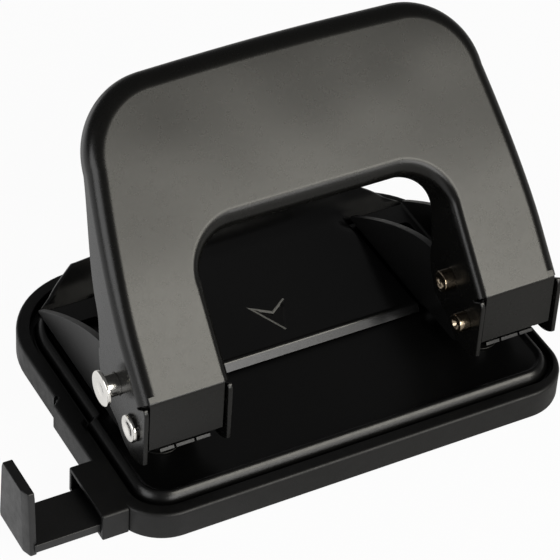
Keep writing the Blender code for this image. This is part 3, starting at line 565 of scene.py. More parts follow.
def grid_border(grid):
    """Row and column of each point round a T-shaped grid, counter-clockwise from the front left."""
    narrow = len(grid[0])
    extra = (len(grid[-1]) - narrow) // 2
    start = next(k for k, row in enumerate(grid) if len(row) > narrow)
    last = len(grid) - 1
    wide = len(grid[-1]) - 1
    path = [(0, i) for i in range(narrow)]
    path += [(k, narrow - 1) for k in range(1, start)]
    path += [(start, i) for i in range(extra + narrow - 1, wide + 1)]
    path += [(k, wide) for k in range(start + 1, last + 1)]
    path += [(last, i) for i in range(wide - 1, -1, -1)]
    path += [(k, 0) for k in range(last - 1, start - 1, -1)]
    path += [(start, i) for i in range(1, extra + 1)]
    path += [(k, 0) for k in range(start - 1, 0, -1)]
    return path, start, extra


def outward(before, here, after):
    """Direction out of a counter-clockwise path at here, as long as an offset of one asks at the corner."""
    into = (Vector(here) - Vector(before)).normalized()
    out = (Vector(after) - Vector(here)).normalized()
    first = Vector((into.y, -into.x))
    second = Vector((out.y, -out.x))
    return (first + second) / (1 + first.dot(second))


def make_bridge():
    """A pressed sheet with a slanted stop at the front and flanges turned down all round."""
    grid, lean = bridge_grid()
    path, start, extra = grid_border(grid)
    points = []
    faces = []
    index = {}
    for skin, lowered in (("top", 0.0), ("under", BRIDGE_SHEET)):
        for k, row in enumerate(grid):
            for i, (x, y) in enumerate(row):
                index[skin, k, i] = len(points)
                points.append((x, y, bridge_height(x, y) - lowered))
        for k in range(len(grid) - 1):
            shift = extra if k + 1 == start else 0
            for i in range(len(grid[k]) - 1):
                corners = ((k, i), (k, i + 1), (k + 1, i + 1 + shift), (k + 1, i + shift))
                faces.append(tuple(index[skin, a, b] for a, b in corners))
    loops = {(skin, 0): [index[skin, k, i] for k, i in path] for skin in ("top", "under")}
    border = [grid[k][i] for k, i in path]
    steps = BEND_STEPS + 2
    for (k, _), before, here, after in zip(path, border[-1:] + border, border, border[1:] + border[:1]):
        out = outward(before, here, after)
        top = bridge_height(*here)
        bottom = BASE_SKIRT_Z if k > start else FOOT_Z
        sides = bend_profile(pi / 2, top - bottom)
        fronts = sides
        if k == 0:
            fronts = bend_profile(lean, top - bottom)
        elif k == start:
            fronts = ramp_profile(BRIDGE_WING_RUN, top - bottom)
        for skin, side, front in zip(("top", "under"), sides, fronts):
            for step in range(1, steps):
                x = here[0] + out.x * side[step][0]
                y = here[1] + out.y * front[step][0]
                loops.setdefault((skin, step), []).append(len(points))
                points.append((x, y, top - front[step][1]))
    order = [("top", n) for n in range(steps)] + [("under", n) for n in reversed(range(steps))]
    for one, two in zip(order, order[1:]):
        for j in range(len(path)):
            faces.append((loops[one][j - 1], loops[one][j], loops[two][j], loops[two][j - 1]))
    return boolean(raw_object("bridge_pressed", (points, faces)), arrow())


def arrow():
    """The centre mark: an arrowhead with soft corners that points to the front and has sloping walls."""
    tail = ARROW_SETBACK + ARROW_LENGTH
    corners = [(0, ARROW_SETBACK, 0.5), (ARROW_HALF, tail, 0.7), (0, tail - ARROW_NOTCH, 0.6)]
    corners.append((-ARROW_HALF, tail, 0.7))
    walls = [(0.3, -ARROW_DEPTH), (0.15, -0.3), (-0.25, 0.0), (-0.65, 0.3)]
    return rings_to_solid([at_height(rounded_loop(corners, inset, 6), BRIDGE_TOP + rise) for inset, rise in walls])


def arrow_edge():
    """A painted highlight on the centre mark: a thin light line along its tails and down its left side, where its
    edge would catch the light.
    """
    tail = ARROW_SETBACK + ARROW_LENGTH
    knots = [(0.0, ARROW_SETBACK - 0.1), (-ARROW_HALF, tail), (0.0, tail - ARROW_NOTCH), (ARROW_HALF, tail)]
    section = [(-1, -0.3), (1, -0.3), (1, 0.02), (0.5, 0.07), (-0.5, 0.07), (-1, 0.02)]
    rings = []
    for before, here, after in zip(knots[:1] + knots, knots, knots[1:] + knots[-1:]):
        half = outward(before, here, after) * -ARROW_EDGE_HALF
        rings.append([(*(Vector(here) + half * share), BRIDGE_TOP + rise) for share, rise in section])
    return solid("centre_mark_edge", rings)


# ---- towers, guides, dies, punches and springs


def tower_profile():
    """Side view of a tower as (y, z) points: foot, rear curve, drive pin notch, pivot lobe and mouth."""
    outline = [(TOWER_FOOT_Y, SLOT_TOP), (TOWER_FOOT_Y, FOOT_Z), (TOWER_REAR - 0.6, FOOT_Z)]
    for share in spread(1.0, 0.0, 34)[:-1]:
        outline.append((TOWER_REAR * share, TOWER_TOP_Z - (TOWER_TOP_Z - TOWER_REAR_Z) * share**1.4))
    clear = DRIVE_PIN_R + 0.5
    reach = hypot(DRIVE_Y - PIVOT_Y, DRIVE_Z - PIVOT_Z)
    notch_back = PIVOT_Y + reach + clear
    notch_front = DRIVE_Y - clear
    notch_middle = SLOT_TOP + TOWER_NOTCH_RISE + clear
    outline += [(0, TOWER_TOP_Z), (notch_back + 1.5, TOWER_TOP_Z + 1.4), (notch_back, TOWER_TOP_Z + 0.8)]
    outline += arc((notch_back - clear, notch_middle), clear, 0, -90, 10)
    outline += arc((notch_front + clear, notch_middle), clear, -90, -180, 10)
    outline += arc(PIVOT, TOWER_FRONT_REACH, 45, 180, 20)
    outline += [(PIVOT_Y - TOWER_FRONT_REACH, TOWER_MOUTH_Z), (TOWER_MOUTH_Y, SLOT_TOP)]
    return outline


def channel_section():
    """Front view of a tower's channel as (x, z) points about its own middle."""
    bend = (TOWER_HALF - TOWER_BEND, FOOT_Z + TOWER_BEND)
    skins = []
    for sheet, steps in ((0.0, 10), (TOWER_SHEET, 6)):
        skin = [(TOWER_HALF - sheet, TOWER_TOP_Z + 10)] + arc(bend, TOWER_BEND - sheet, 0, -90, steps)
        skins.append(skin + [(-x, z) for x, z in reversed(skin)])
    outer, inner = skins
    return outer + inner[::-1]


def make_tower(label, side):
    middle = side * PUNCH_X
    rings = [[(x + middle, y, z) for x, z in channel_section()] for y in (PIVOT_Y - 12, TOWER_REAR + 6)]
    tower = solid(f"tower_{label}_channel", rings)
    low, high = middle - TOWER_HALF - 2, middle + TOWER_HALF + 2
    boolean(tower, prism_x(tower_profile(), low, high), "INTERSECT")
    start, end, half = TOWER_WINDOW
    spots = ((-half, start), (half, start), (half, end), (-half, end))
    outline = rounded_loop([(middle + x, y, TOWER_WINDOW_CORNER) for x, y in spots], 0.0, 6)
    boolean(tower, rings_to_solid([at_height(outline, z) for z in (FOOT_Z - 2, FOOT_Z + 4)]))
    drill(tower, PIVOT_PIN_R + RUN_GAP, low, high, "X", PIVOT)
    for across in (-RIVET_X, RIVET_X):
        drill(tower, RIVET_R + RUN_GAP, FOOT_Z - 2, FOOT_Z + 3, "Z", (middle + across, RIVET_Y), RIVET_SIDES)
    return soften(tower, 0.16, 2)


def make_rivet(label, x):
    """A rivet through a tower's foot and the base plate, with a domed head above and a flat one below."""
    above = FOOT_Z + TOWER_SHEET + SEAT_GAP
    below = BASE_TOP - BASE_SHEET - SEAT_GAP
    bottom = below - RIVET_HEAD
    profile = [(0.3, bottom), (RIVET_HEAD_R - 0.3, bottom), (RIVET_HEAD_R, bottom + 0.3), (RIVET_HEAD_R, below)]
    profile += [(RIVET_R, below), (RIVET_R, above)]
    for n in range(9):
        turn = radians(90 * n / 8.5)
        profile.append((RIVET_HEAD_R * cos(turn), above + RIVET_HEAD * sin(turn)))
    return raw_object(f"rivet_{label}", turned(profile, "Z", (x, RIVET_Y), 32))


def guide_plate_outline():
    """Side view of a punch guide: a flat strip with the mouth bent up at its front."""
    low = SLOT_TOP + GUIDE_GAP
    front_y = PIVOT_Y - TOWER_FRONT_REACH - 0.3
    front_z = TOWER_MOUTH_Z - 1.1
    slope = atan2(front_z - low, TOWER_MOUTH_Y - front_y)
    centre = (TOWER_MOUTH_Y + GUIDE_BEND * tan(slope / 2), low + GUIDE_BEND)
    lower, upper = (arc(centre, r, -90, -90 - degrees(slope), 8) for r in (GUIDE_BEND, GUIDE_BEND - GUIDE_SHEET))
    lip = 0.6 * GUIDE_SHEET
    outline = [(-0.5, low), (-0.5, low + GUIDE_SHEET)] + upper
    outline += [(front_y + lip * sin(slope), front_z + lip * cos(slope)), (front_y, front_z)]
    return outline + lower[::-1]


def make_guide_plate(label, side):
    middle = side * PUNCH_X
    half = TOWER_HALF - TOWER_SHEET - SEAT_GAP
    strip = prism_x(guide_plate_outline(), middle - half, middle + half)
    plate = raw_object(f"punch_guide_{label}_strip", strip)
    drill(plate, PUNCH_R + RUN_GAP, BASE_TOP, BASE_TOP + 10, "Z", (middle, -HOLE_SETBACK))
    for across in (-1, 1):
        x = middle + across * 0.4 * half
        slit = box((x - 0.25, PIVOT_Y - 8, BASE_TOP + 2), (x + 0.25, PIVOT_Y - 0.5, TOWER_MOUTH_Z + 6))
        boolean(plate, slit)
    return soften(plate, 0.14, 2)


def make_die(label, side):
    top = BASE_TOP - 0.1
    inner = PUNCH_R + RUN_GAP
    ring = tube(inner, inner + DIE_WALL, top - DIE_HEIGHT, top, "Z", (side * PUNCH_X, -HOLE_SETBACK))
    return soften(raw_object(f"die_{label}_ring", ring), 0.2)


def make_punch(label, side):
    """A turned punch: hollow cutting end, straight shank and a head that the drive pin presses on."""
    top = PUNCH_TOP
    tip = PUNCH_TIP
    neck = top - PUNCH_HEAD
    profile = [(0.15, tip + PUNCH_HOLLOW)]
    profile += [(PUNCH_R * t, tip + PUNCH_HOLLOW * (1 - t**2)) for t in (0.3, 0.6, 0.85, 0.97)]
    profile += [(PUNCH_R - 0.05, tip), (PUNCH_R, tip + 0.1), (PUNCH_R, neck - 0.3)]
    profile += [(PUNCH_R - 0.2, neck - 0.2), (PUNCH_R - 0.2, neck), (PUNCH_HEAD_R - 0.2, neck)]
    profile += [(PUNCH_HEAD_R, neck + 0.2), (PUNCH_HEAD_R, top - 0.5), (PUNCH_HEAD_R - 0.15, top - 0.15)]
    profile += [(PUNCH_HEAD_R - 0.5, top), (0.2, top)]
    return raw_object(f"punch_{label}_turned", turned(profile, "Z", (side * PUNCH_X, -HOLE_SETBACK)))


def make_spring(label, side):
    """A compression spring round the punch with its end coils closed."""
    low, high = SPRING_LOW, SPRING_HIGH
    coil_r = PUNCH_R + SEAT_GAP + SPRING_WIRE_R
    centre = Vector((side * PUNCH_X, -HOLE_SETBACK, 0))
    section = arc((0, 0), SPRING_WIRE_R, 0, 360 * (SPRING_SIDES - 1) / SPRING_SIDES, SPRING_SIDES - 1)
    flat = SPRING_CLOSED_TURNS / SPRING_TURNS
    closed = 2 * SPRING_WIRE_R * SPRING_CLOSED_TURNS
    rings = []
    for share in spread(0.0, 1.0, int(SPRING_TURNS * 40)):
        if share < flat:
            z = low + closed * share / flat
        elif share > 1 - flat:
            z = high - closed * (1 - share) / flat
        else:
            z = low + closed + (high - low - 2 * closed) * (share - flat) / (1 - 2 * flat)
        turn = 2 * pi * SPRING_TURNS * share
        out = Vector((cos(turn), sin(turn), 0))
        rings.append([centre + out * (coil_r + u) + Vector((0, 0, z + v)) for u, v in section])
    return solid(f"punch_spring_{label}_coil", rings)


# ---- handle and pins


def on_handle(x, s, depth):
    """A point of the handle: s runs up its sloping face, depth goes in behind the face."""
    along = Vector((0, cos(HANDLE_SLOPE), sin(HANDLE_SLOPE)))
    inward = Vector((0, sin(HANDLE_SLOPE), -cos(HANDLE_SLOPE)))
    foot = Vector((x, HANDLE_FOOT_Y, HANDLE_FOOT_Z))
    return foot + along * s + inward * depth


def face_point(s, depth):
    """Side view of a point of the handle, as (y, z)."""
    return tuple(on_handle(0, s, depth).yz)


def leg_edge(s):
    """Half-width of the handle at s: straight near the foot, leaning in towards the shoulder."""
    share = max(s - LEG_TAPER_FROM, 0.0) / (HANDLE_LENGTH - SHOULDER_R - LEG_TAPER_FROM)
    return LEG_OUTER - LEG_TAPER * share**1.6


def outer_flange(s):
    """Depth of the outer flange: deep round the pins, then shallower in two steps up to the shoulder."""
    depth = FLANGE_TOP
    depth += (FLANGE_FOOT - FLANGE_MIDDLE) * (1 - smooth(s, *FLANGE_FIRST_STEP))
    return depth + (FLANGE_MIDDLE - FLANGE_TOP) * (1 - smooth(s, *FLANGE_SECOND_STEP))


def inner_flange(s):
    """Depth of the flange round the opening: deep round the pins, then falling evenly to the arch."""
    straight = FLANGE_FOOT - FLANGE_FALL * max(s - FLANGE_FALL_FROM, 0.0)
    if straight >= FLANGE_ARCH + 4 * FLANGE_BLEND:
        return straight
    return FLANGE_ARCH + FLANGE_BLEND * log1p(exp((straight - FLANGE_ARCH) / FLANGE_BLEND))


def handle_stations():
    """Right half of the handle from foot to mid-plane.

    Each station holds (edge, normal, bend radius) for the outer flange and the same for the inner one.
    """
    shoulder = HANDLE_LENGTH - SHOULDER_R
    shoulder_x = leg_edge(shoulder) - SHOULDER_R
    arch = ARCH_TOP - ARCH_CORNER
    arch_x = LEG_INNER - ARCH_CORNER
    (outer_foot, outer_crown), (inner_foot, inner_crown) = OUTER_BENDS, INNER_BENDS
    stations = []
    for s in spread(0.0, arch, 18):
        stations.append((((leg_edge(s), s), (1, 0), outer_foot), ((LEG_INNER, s), (-1, 0), inner_foot)))
    for t in spread(0.0, 1.0, 44)[1:]:
        turn = radians(90 * t)
        inner_dir = (cos(turn), sin(turn))
        inner = (arch_x + ARCH_CORNER * inner_dir[0], arch + ARCH_CORNER * inner_dir[1])
        if t <= SHOULDER_START:
            s = arch + (shoulder - arch) * t / SHOULDER_START
            outer = (leg_edge(s), s)
            outer_dir = (1.0, 0.0)
        else:
            lean = radians(90 * (t - SHOULDER_START) / (1 - SHOULDER_START))
            outer_dir = (cos(lean), sin(lean))
            outer = (shoulder_x + SHOULDER_R * outer_dir[0], shoulder + SHOULDER_R * outer_dir[1])
        outer_bend = outer_foot + (outer_crown - outer_foot) * t
        inner_bend = inner_foot + (inner_crown - inner_foot) * t
        facing = (-inner_dir[0], -inner_dir[1])
        stations.append(((outer, outer_dir, outer_bend), (inner, facing, inner_bend)))
    for t in spread(0.0, 1.0, 10)[1:]:
        outer = (shoulder_x * (1 - t), HANDLE_LENGTH + HANDLE_CROWN * sin(pi / 2 * t))
        inner = (arch_x * (1 - t), ARCH_TOP)
        stations.append(((outer, (0, 1), outer_crown), (inner, (0, -1), inner_crown)))
    return stations


def flange_skin(edge, normal, bend, depth, behind):
    """Section of a flange's skin that lies behind its outer face, from the lip through the bend, as (x, s, depth)."""
    (x, s), (dx, ds) = edge, normal
    found = []
    for turn in (0, 30, 60, 90):
        turn = radians(turn)
        back = HANDLE_LIP * (1 - sin(turn))
        inset = back if behind == 0.0 else behind - back
        found.append((x - dx * inset, s - ds * inset, depth - HANDLE_LIP * (1 - cos(turn))))
    for back, drop in arc((0, 0), bend - behind, 0, 90, 10):
        found.append((x - dx * (bend - back), s - ds * (bend - back), bend - drop))
    return found


def handle_ring(station, mirror):
    """One closed section of the sheet: outer skin from flange edge to flange edge, then the inner skin back."""
    outer, inner = station
    outer += (outer_flange(outer[0][1]),)
    inner += (inner_flange(inner[0][1]),)
    skin = flange_skin(*outer, 0.0) + flange_skin(*inner, 0.0)[::-1]
    skin += flange_skin(*inner, HANDLE_SHEET) + flange_skin(*outer, HANDLE_SHEET)[::-1]
    return [on_handle(mirror * x, s, depth) for x, s, depth in skin]


def ear_outline():
    """Side view of a flange's foot: a lobe round the handle's axis, with its front edge cut free of the face."""
    front = degrees(acos((PIVOT_Y - EAR_FRONT) / EAR_R)) - 180
    rear = [(EAR_REAR_Y + 1.0, DRIVE_Z + 2.6), (EAR_REAR_Y + 0.6, DRIVE_Z - 0.6)]
    rear += [(EAR_REAR_Y - 0.2, DRIVE_Z - 3.4), (EAR_REAR_Y - 3.6, PIVOT_Z - 3.6)]
    outline = [face_point(2.5, 5.0), face_point(12.0, 5.0), face_point(14.2, 14.0)] + flow(rear, 4)[:-1]
    outline += arc(PIVOT, EAR_R, -35, front, 30)
    outline += [(EAR_FRONT, HANDLE_FOOT_Z - 2.6), (EAR_FRONT + 0.15, HANDLE_FOOT_Z - 1.8)]
    outline += [(EAR_FRONT + 0.8, HANDLE_FOOT_Z - 0.9), face_point(-0.5, 3.4)]
    return outline


def panel_outline():
    """Side view of the lower front panel, whose top runs into the sloping face through a bend."""
    fillet = HANDLE_SHEET + 0.15
    turn = pi / 2 - HANDLE_SLOPE
    corner_z = HANDLE_FOOT_Z + (PANEL_FRONT - HANDLE_FOOT_Y) * tan(HANDLE_SLOPE)
    centre = (PANEL_FRONT + fillet, corner_z - fillet * tan(turn / 2))
    outer, inner = (arc(centre, r, 180, 180 - degrees(turn), 8) for r in (fillet, fillet - HANDLE_SHEET))
    outline = [(PANEL_FRONT, PANEL_BOTTOM)] + outer + [face_point(1.5, 0.02), face_point(1.5, HANDLE_SHEET - 0.02)]
    return outline + inner[::-1] + [(PANEL_FRONT + HANDLE_SHEET, PANEL_BOTTOM)]


def make_handle():
    right = handle_stations()
    rings = [handle_ring(station, 1) for station in right]
    rings += [handle_ring(station, -1) for station in right[-2::-1]]
    handle = solid("handle_pressed", rings)
    sink = 0.015
    inside = LEG_INNER + HANDLE_SHEET
    outside = LEG_OUTER - HANDLE_SHEET
    for side in (-1, 1):
        for low, high in ((LEG_INNER, inside), (outside, LEG_OUTER)):
            ends = sorted((side * (low + sink), side * (high - sink)))
            boolean(handle, soften(raw_object("ear", prism_x(ear_outline(), *ends)), 0.25), "UNION")
        ends = sorted((side * (inside + PANEL_SLIT), side * (outside - PANEL_SLIT)))
        boolean(handle, soften(raw_object("panel", prism_x(panel_outline(), *ends)), 0.22), "UNION")
    reach = LEG_OUTER + 5
    drill(handle, PIVOT_PIN_R + RUN_GAP, -reach, reach, "X", PIVOT)
    drill(handle, DRIVE_PIN_R + RUN_GAP, -reach, reach, "X", DRIVE)
    return handle


def make_pin(name, side, spot, radius, head_r, head, stick_out, end=PIN_END):
    """A pin through one leg: rounded head outside, riveted end with a dimple inside."""
    inner_end = LEG_INNER - end
    head_at = LEG_OUTER + SEAT_GAP + stick_out
    edge = min(0.4 * head, 0.35)
    dimple = [(0.1, 0.75), (0.3 * radius, 0.7), (0.48 * radius, 0.4), (0.62 * radius, 0.05), (0.7 * radius, 0.0)]
    dimple += [(radius - 0.35, 0.0), (radius - 0.1, 0.1), (radius, 0.35)]
    profile = [(r, inner_end + x) for r, x in dimple]
    profile += [(radius, head_at), (head_r - 0.1, head_at), (head_r, head_at + 0.1)]
    for n in range(1, 7):
        turn = radians(90 * n / 6)
        profile.append((head_r - edge * (1 - cos(turn)), head_at + head - edge * (1 - sin(turn))))
    top = head_at + head
    profile += [(0.45 * head_r, top), (0.38 * head_r, top - 0.12), (0.1, top - 0.16)]
    return raw_object(name, turned([(r, side * x) for r, x in profile], "X", spot))


def make_lock_clip():
    """A ring in the push-in pin's end groove, which keeps the pin from being pulled out."""
    outer_face = -(LEG_INNER - SEAT_GAP)
    ring = tube(DRIVE_PIN_R + RUN_GAP, CLIP_R, outer_face, outer_face + CLIP_SHEET, "X", DRIVE)
    return soften(raw_object("lock_pin_ring", ring), 0.12, 2)


# ---- chip tray and paper guide


def make_tray():
    outer = tray_corners()
    rear_r = TRAY_REAR_CORNER - TRAY_WALL
    inner = inner_corners(TRAY_WALL, rear_r, TRAY_RIGHT_TRIM)
    ledge = inner_corners(TRAY_WALL + TRAY_LEDGE, rear_r, TRAY_RIGHT_TRIM)
    top = TRAY_HEIGHT
    profile = [(outer, 0.5, 0.0), (outer, 0.2, 0.12), (outer, 0.1, 0.5), (outer, 0.1, top - 0.85)]
    for turn in (30, 60, 90):
        turn = radians(turn)
        profile.append((outer, 0.1 + 0.75 * (1 - cos(turn)), top - 0.85 + 0.85 * sin(turn)))
    profile += [(inner, -0.3, top), (inner, -0.08, top - 0.08), (inner, 0.0, top - 0.3), (inner, 0.0, TRAY_LEDGE_Z)]
    profile += [(ledge, -0.2, TRAY_LEDGE_Z), (ledge, 0.0, TRAY_LEDGE_Z - 0.2), (ledge, 0.0, TRAY_FLOOR)]
    rings = [at_height(rounded_loop(corners, inset), z) for corners, inset, z in profile]
    tray = solid("chip_tray_moulded", rings)
    boss_top = top - 0.05
    corners = [(BOSS_FRONT, 0.0, 0), (BOSS_BACK, 0.0, 0), (BOSS_BACK, boss_top, 0.8), (BOSS_FRONT, boss_top, 0.8)]
    boss = prism_x(rounded_loop(corners, 0.0, 6), BOSS_X, -TRAY_HALF + 1.4)
    boolean(tray, soften(raw_object("boss", boss), 0.3), "UNION")
    mouth_low = (BOSS_X - 5, GUIDE_FRONT - SEAT_GAP, TRAY_FLOOR)
    mouth_high = (-TRAY_HALF - 0.2, BOSS_BACK - BOSS_WALL, top - BOSS_WALL)
    boolean(tray, box(mouth_low, mouth_high))
    slot_top = GUIDE_BAR_Z + GUIDE_BAR + SEAT_GAP
    slot_high = (-TRAY_HALF + TRAY_WALL + TRAY_FRONT_CORNER, GUIDE_BACK + SEAT_GAP, slot_top)
    boolean(tray, box(mouth_low, slot_high))
    grip_low = (-TRAY_HALF - 2, TRAY_JOG_Y + 0.1, -1)
    grip_high = (-TRAY_HALF + SIDE_JOG + 1.0, TRAY_JOG_Y + 1.2, top + 1)
    return boolean(tray, box(grip_low, grip_high))


def make_paper_guide():
    """A flat bar that slides in the tray, with an upright plate that the paper's edge rests against."""
    plate_in = GUIDE_PLATE_X + GUIDE_PLATE
    front = GUIDE_FRONT + 0.4
    fronts = [(GUIDE_PLATE_X, front + 2.2), (GUIDE_PLATE_X + 0.8, front), (plate_in, front)]
    tall = GUIDE_PLATE_TOP
    rings = []
    for z, pull, push in ((GUIDE_PLATE_Z, 0.0, 0.3), (1.5, 0.0, 0.0), (tall - 1.6, 0.9, 1.2), (tall, 1.3, 1.8)):
        back = GUIDE_PLATE_BACK - push
        rings.append([(GUIDE_PLATE_X, back, z)] + [(x, y + pull, z) for x, y in fronts] + [(plate_in, back, z)])
    guide = soften(solid("paper_guide_slider", rings), 0.3, 3, 30)
    bar = box((plate_in - 0.6, GUIDE_FRONT, GUIDE_BAR_Z), (GUIDE_BAR_END, GUIDE_BACK, GUIDE_BAR_Z + GUIDE_BAR))
    return boolean(guide, soften(raw_object("bar", bar), 0.25), "UNION")


# ---- materials


def add_node(tree, kind, inputs, **settings):
    """Adds a shader node. An input that is a socket is linked, and any other is set as a value."""
    made = tree.nodes.new(kind)
    for name, value in settings.items():
        setattr(made, name, value)
    for name, value in inputs.items():
        if isinstance(value, bpy.types.NodeSocket):
            tree.links.new(value, made.inputs[name])
        else:
            made.inputs[name].default_value = value
    return made


def calculate(tree, operation, first, second=0.0):
    return add_node(tree, "ShaderNodeMath", {0: first, 1: second}, operation=operation).outputs["Value"]


def object_place(tree):
    return add_node(tree, "ShaderNodeTexCoord", {}).outputs["Object"]


def noise(tree, place, scale, detail=3.0, rough=0.55):
    inputs = {"Vector": place, "Scale": scale, "Detail": detail, "Roughness": rough}
    return add_node(tree, "ShaderNodeTexNoise", inputs).outputs["Fac"]


def remap(tree, value, low, high, from_low=0.3, from_high=0.7):
    inputs = {"Value": value, "From Min": from_low, "From Max": from_high, "To Min": low, "To Max": high}
    return add_node(tree, "ShaderNodeMapRange", inputs).outputs["Result"]


def bump(tree, height, strength, distance, before=None):
    inputs = {"Height": height, "Strength": strength, "Distance": distance}
    if before:
        inputs["Normal"] = before
    return add_node(tree, "ShaderNodeBump", inputs).outputs["Normal"]


def surface(name, dark, light, rough, specular=0.5, metallic=0.0, patch=60.0):
    """A Principled material whose colour and roughness wander between two values in soft patches."""
    made = bpy.data.materials.new(name)
    made.use_nodes = True
    tree = made.node_tree
    shader = tree.nodes["Principled BSDF"]
    shader.inputs["Metallic"].default_value = metallic
    shader.inputs["Specular IOR Level"].default_value = specular
    place = object_place(tree)
    ramp = add_node(tree, "ShaderNodeValToRGB", {"Fac": noise(tree, place, patch, 4.0)})
    for k, position, colour in ((0, 0.32, dark), (1, 0.68, light)):
        ramp.color_ramp.elements[k].position = position
        ramp.color_ramp.elements[k].color = (*colour, 1.0)
    tree.links.new(ramp.outputs["Color"], shader.inputs["Base Color"])
    fine = noise(tree, place, patch * 7, 2.0)
    tree.links.new(remap(tree, fine, *rough), shader.inputs["Roughness"])
    return made, tree, shader, place


def painted(name, dark, light, rough, peel, specular=0.5, sag=0.0):
    """Stoved paint with a faint orange peel and, where sag is set, broad soft waves in its coat."""
    made, tree, shader, place = surface(name, dark, light, rough, specular)
    waves = bump(tree, noise(tree, place, SAG_SCALE, 1.0), sag, SAG_HEIGHT) if sag else None
    skin = bump(tree, noise(tree, place, PEEL_SCALE, 1.0), peel, PEEL_HEIGHT, waves)
    tree.links.new(skin, shader.inputs["Normal"])
    return made


def moulded(name, dark, light, rough, specular):
    """Injection-moulded plastic with a fine spark-eroded grain."""
    made, tree, shader, place = surface(name, dark, light, rough, specular)
    grain = noise(tree, place, GRAIN_SCALE, 3.0, 0.7)
    tree.links.new(bump(tree, grain, GRAIN_STRENGTH, GRAIN_HEIGHT), shader.inputs["Normal"])
    return made


def plated(name, dark, light, rough, brush=(1.0, 1.0, 1.0), strength=0.15):
    """Plated or ground steel, with marks drawn out along the axis that brush leaves small."""
    made, tree, shader, place = surface(name, dark, light, rough, 0.5, 1.0, 180.0)
    drawn_out = add_node(tree, "ShaderNodeMapping", {"Vector": place, "Scale": brush}).outputs["Vector"]
    marks = noise(tree, drawn_out, MARK_SCALE, 3.0, 0.6)
    tree.links.new(bump(tree, marks, strength, MARK_HEIGHT), shader.inputs["Normal"])
    return made


def tint_inner_ends(made, tint):
    """Multiplies the colour of a pin's end, where it stands inside its leg, by a darker and warmer tint than its
    head.
    """
    tree = made.node_tree
    colour = tree.nodes["Principled BSDF"].inputs["Base Color"]
    apart = add_node(tree, "ShaderNodeSeparateXYZ", {"Vector": object_place(tree)})
    inside = calculate(tree, "LESS_THAN", calculate(tree, "ABSOLUTE", apart.outputs["X"]), LEG_INNER * MM)
    inputs = {"Fac": inside, "Color1": colour.links[0].from_socket, "Color2": (*tint, 1.0)}
    stain = add_node(tree, "ShaderNodeMixRGB", inputs, blend_type="MULTIPLY")
    tree.links.new(stain.outputs["Color"], colour)


gloss_paint = painted("gloss_paint", (0.0016, 0.0016, 0.0017), (0.0022, 0.0022, 0.0023), (0.30, 0.34), 0.012, 0.4)
bridge_paint = painted("bridge_paint", (0.0024, 0.0024, 0.0025), (0.0033, 0.0033, 0.0034), (0.205, 0.235), 0.012, 0.4)
satin_paint = painted(
    "satin_paint", (0.0036, 0.0035, 0.0032), (0.0045, 0.0044, 0.0040), (0.262, 0.278), 0.015, 0.33, sag=0.5
)
tower_paint = painted("tower_paint", (0.0027, 0.0027, 0.0027), (0.0036, 0.0036, 0.0036), (0.42, 0.46), 0.03, 0.55)
# Light grey paint that draws a painted highlight along the centre mark's edge
edge_highlight_paint = painted("edge_highlight_paint", (0.16, 0.16, 0.155), (0.24, 0.24, 0.23), (0.40, 0.50), 0.02, 0.4)
tray_plastic = moulded("tray_plastic", (0.0026, 0.0026, 0.0027), (0.0044, 0.0044, 0.0045), (0.42, 0.52), 0.38)
guide_plastic = moulded("guide_plastic", (0.0035, 0.0035, 0.0036), (0.0055, 0.0055, 0.0056), (0.42, 0.52), 0.52)
nickel = plated("nickel", (0.80, 0.78, 0.74), (0.90, 0.88, 0.84), (0.14, 0.22), brush=(0.1, 1.0, 1.0))
tint_inner_ends(nickel, (0.44, 0.37, 0.29))
zinc = plated("zinc", (0.55, 0.55, 0.55), (0.72, 0.71, 0.69), (0.22, 0.34))
dull_steel = plated("dull_steel", (0.030, 0.030, 0.031), (0.048, 0.048, 0.047), (0.36, 0.46))
ground_steel = plated("ground_steel", (0.30, 0.30, 0.31), (0.42, 0.42, 0.42), (0.24, 0.36), (1.0, 1.0, 0.1), 0.2)


# ---- the object


def dress():
    finish_piece(make_base_plate(), gloss_paint, "base", ["base_plate"])
    finish_piece(make_bridge(), bridge_paint, "base", ["bridge"])
    finish_piece(arrow_edge(), edge_highlight_paint, "base")
    finish_piece(make_handle(), satin_paint, "handle", ["handle"], angle=28)
    finish_piece(make_tray(), tray_plastic, "chip_tray", ["chip_tray"])
    finish_piece(make_paper_guide(), guide_plastic, "paper_guide", ["paper_guide"])
    for label, side in (("left", -1), ("right", 1)):
        finish_piece(make_tower(label, side), tower_paint, "base", [f"tower_{label}"])
        finish_piece(make_guide_plate(label, side), dull_steel, "base", [f"punch_guide_{label}"])
        finish_piece(make_die(label, side), dull_steel, "base", [f"die_{label}"])
        finish_piece(make_punch(label, side), ground_steel, f"punch_{label}", [f"punch_{label}"])
        spring = make_spring(label, side)
        finish_piece(spring, zinc, "base", [f"punch_spring_{label}"], 60, False)
        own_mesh(spring)
        for place, across in (("inner", -side), ("outer", side)):
            rivet = make_rivet(f"{label}_{place}", side * PUNCH_X + across * RIVET_X)
            finish_piece(rivet, zinc, "base", [f"tower_rivet_{label}_{place}"])
        end = PIN_END if side > 0 else 0.5 * PIN_END
        pivot = make_pin(f"pivot_{label}", side, PIVOT, PIVOT_PIN_R, PIVOT_HEAD_R, PIN_HEAD, 0.0, end)
        finish_piece(pivot, nickel, "base", [f"pivot_pin_{label}"])
    pin = make_pin("drive_pin_turned", 1, DRIVE, DRIVE_PIN_R, DRIVE_HEAD_R, PIN_HEAD, 0.0)
    finish_piece(pin, nickel, "handle", ["drive_pin"])
    lock = make_pin("lock_pin_turned", -1, DRIVE, DRIVE_PIN_R, LOCK_HEAD_R, LOCK_HEAD, LOCK_STICK_OUT - SEAT_GAP)
    finish_piece(lock, nickel, "lock_pin", ["lock_pin"])
    finish_piece(make_lock_clip(), zinc, "lock_pin", ["lock_pin_clip"])


# ---- studio


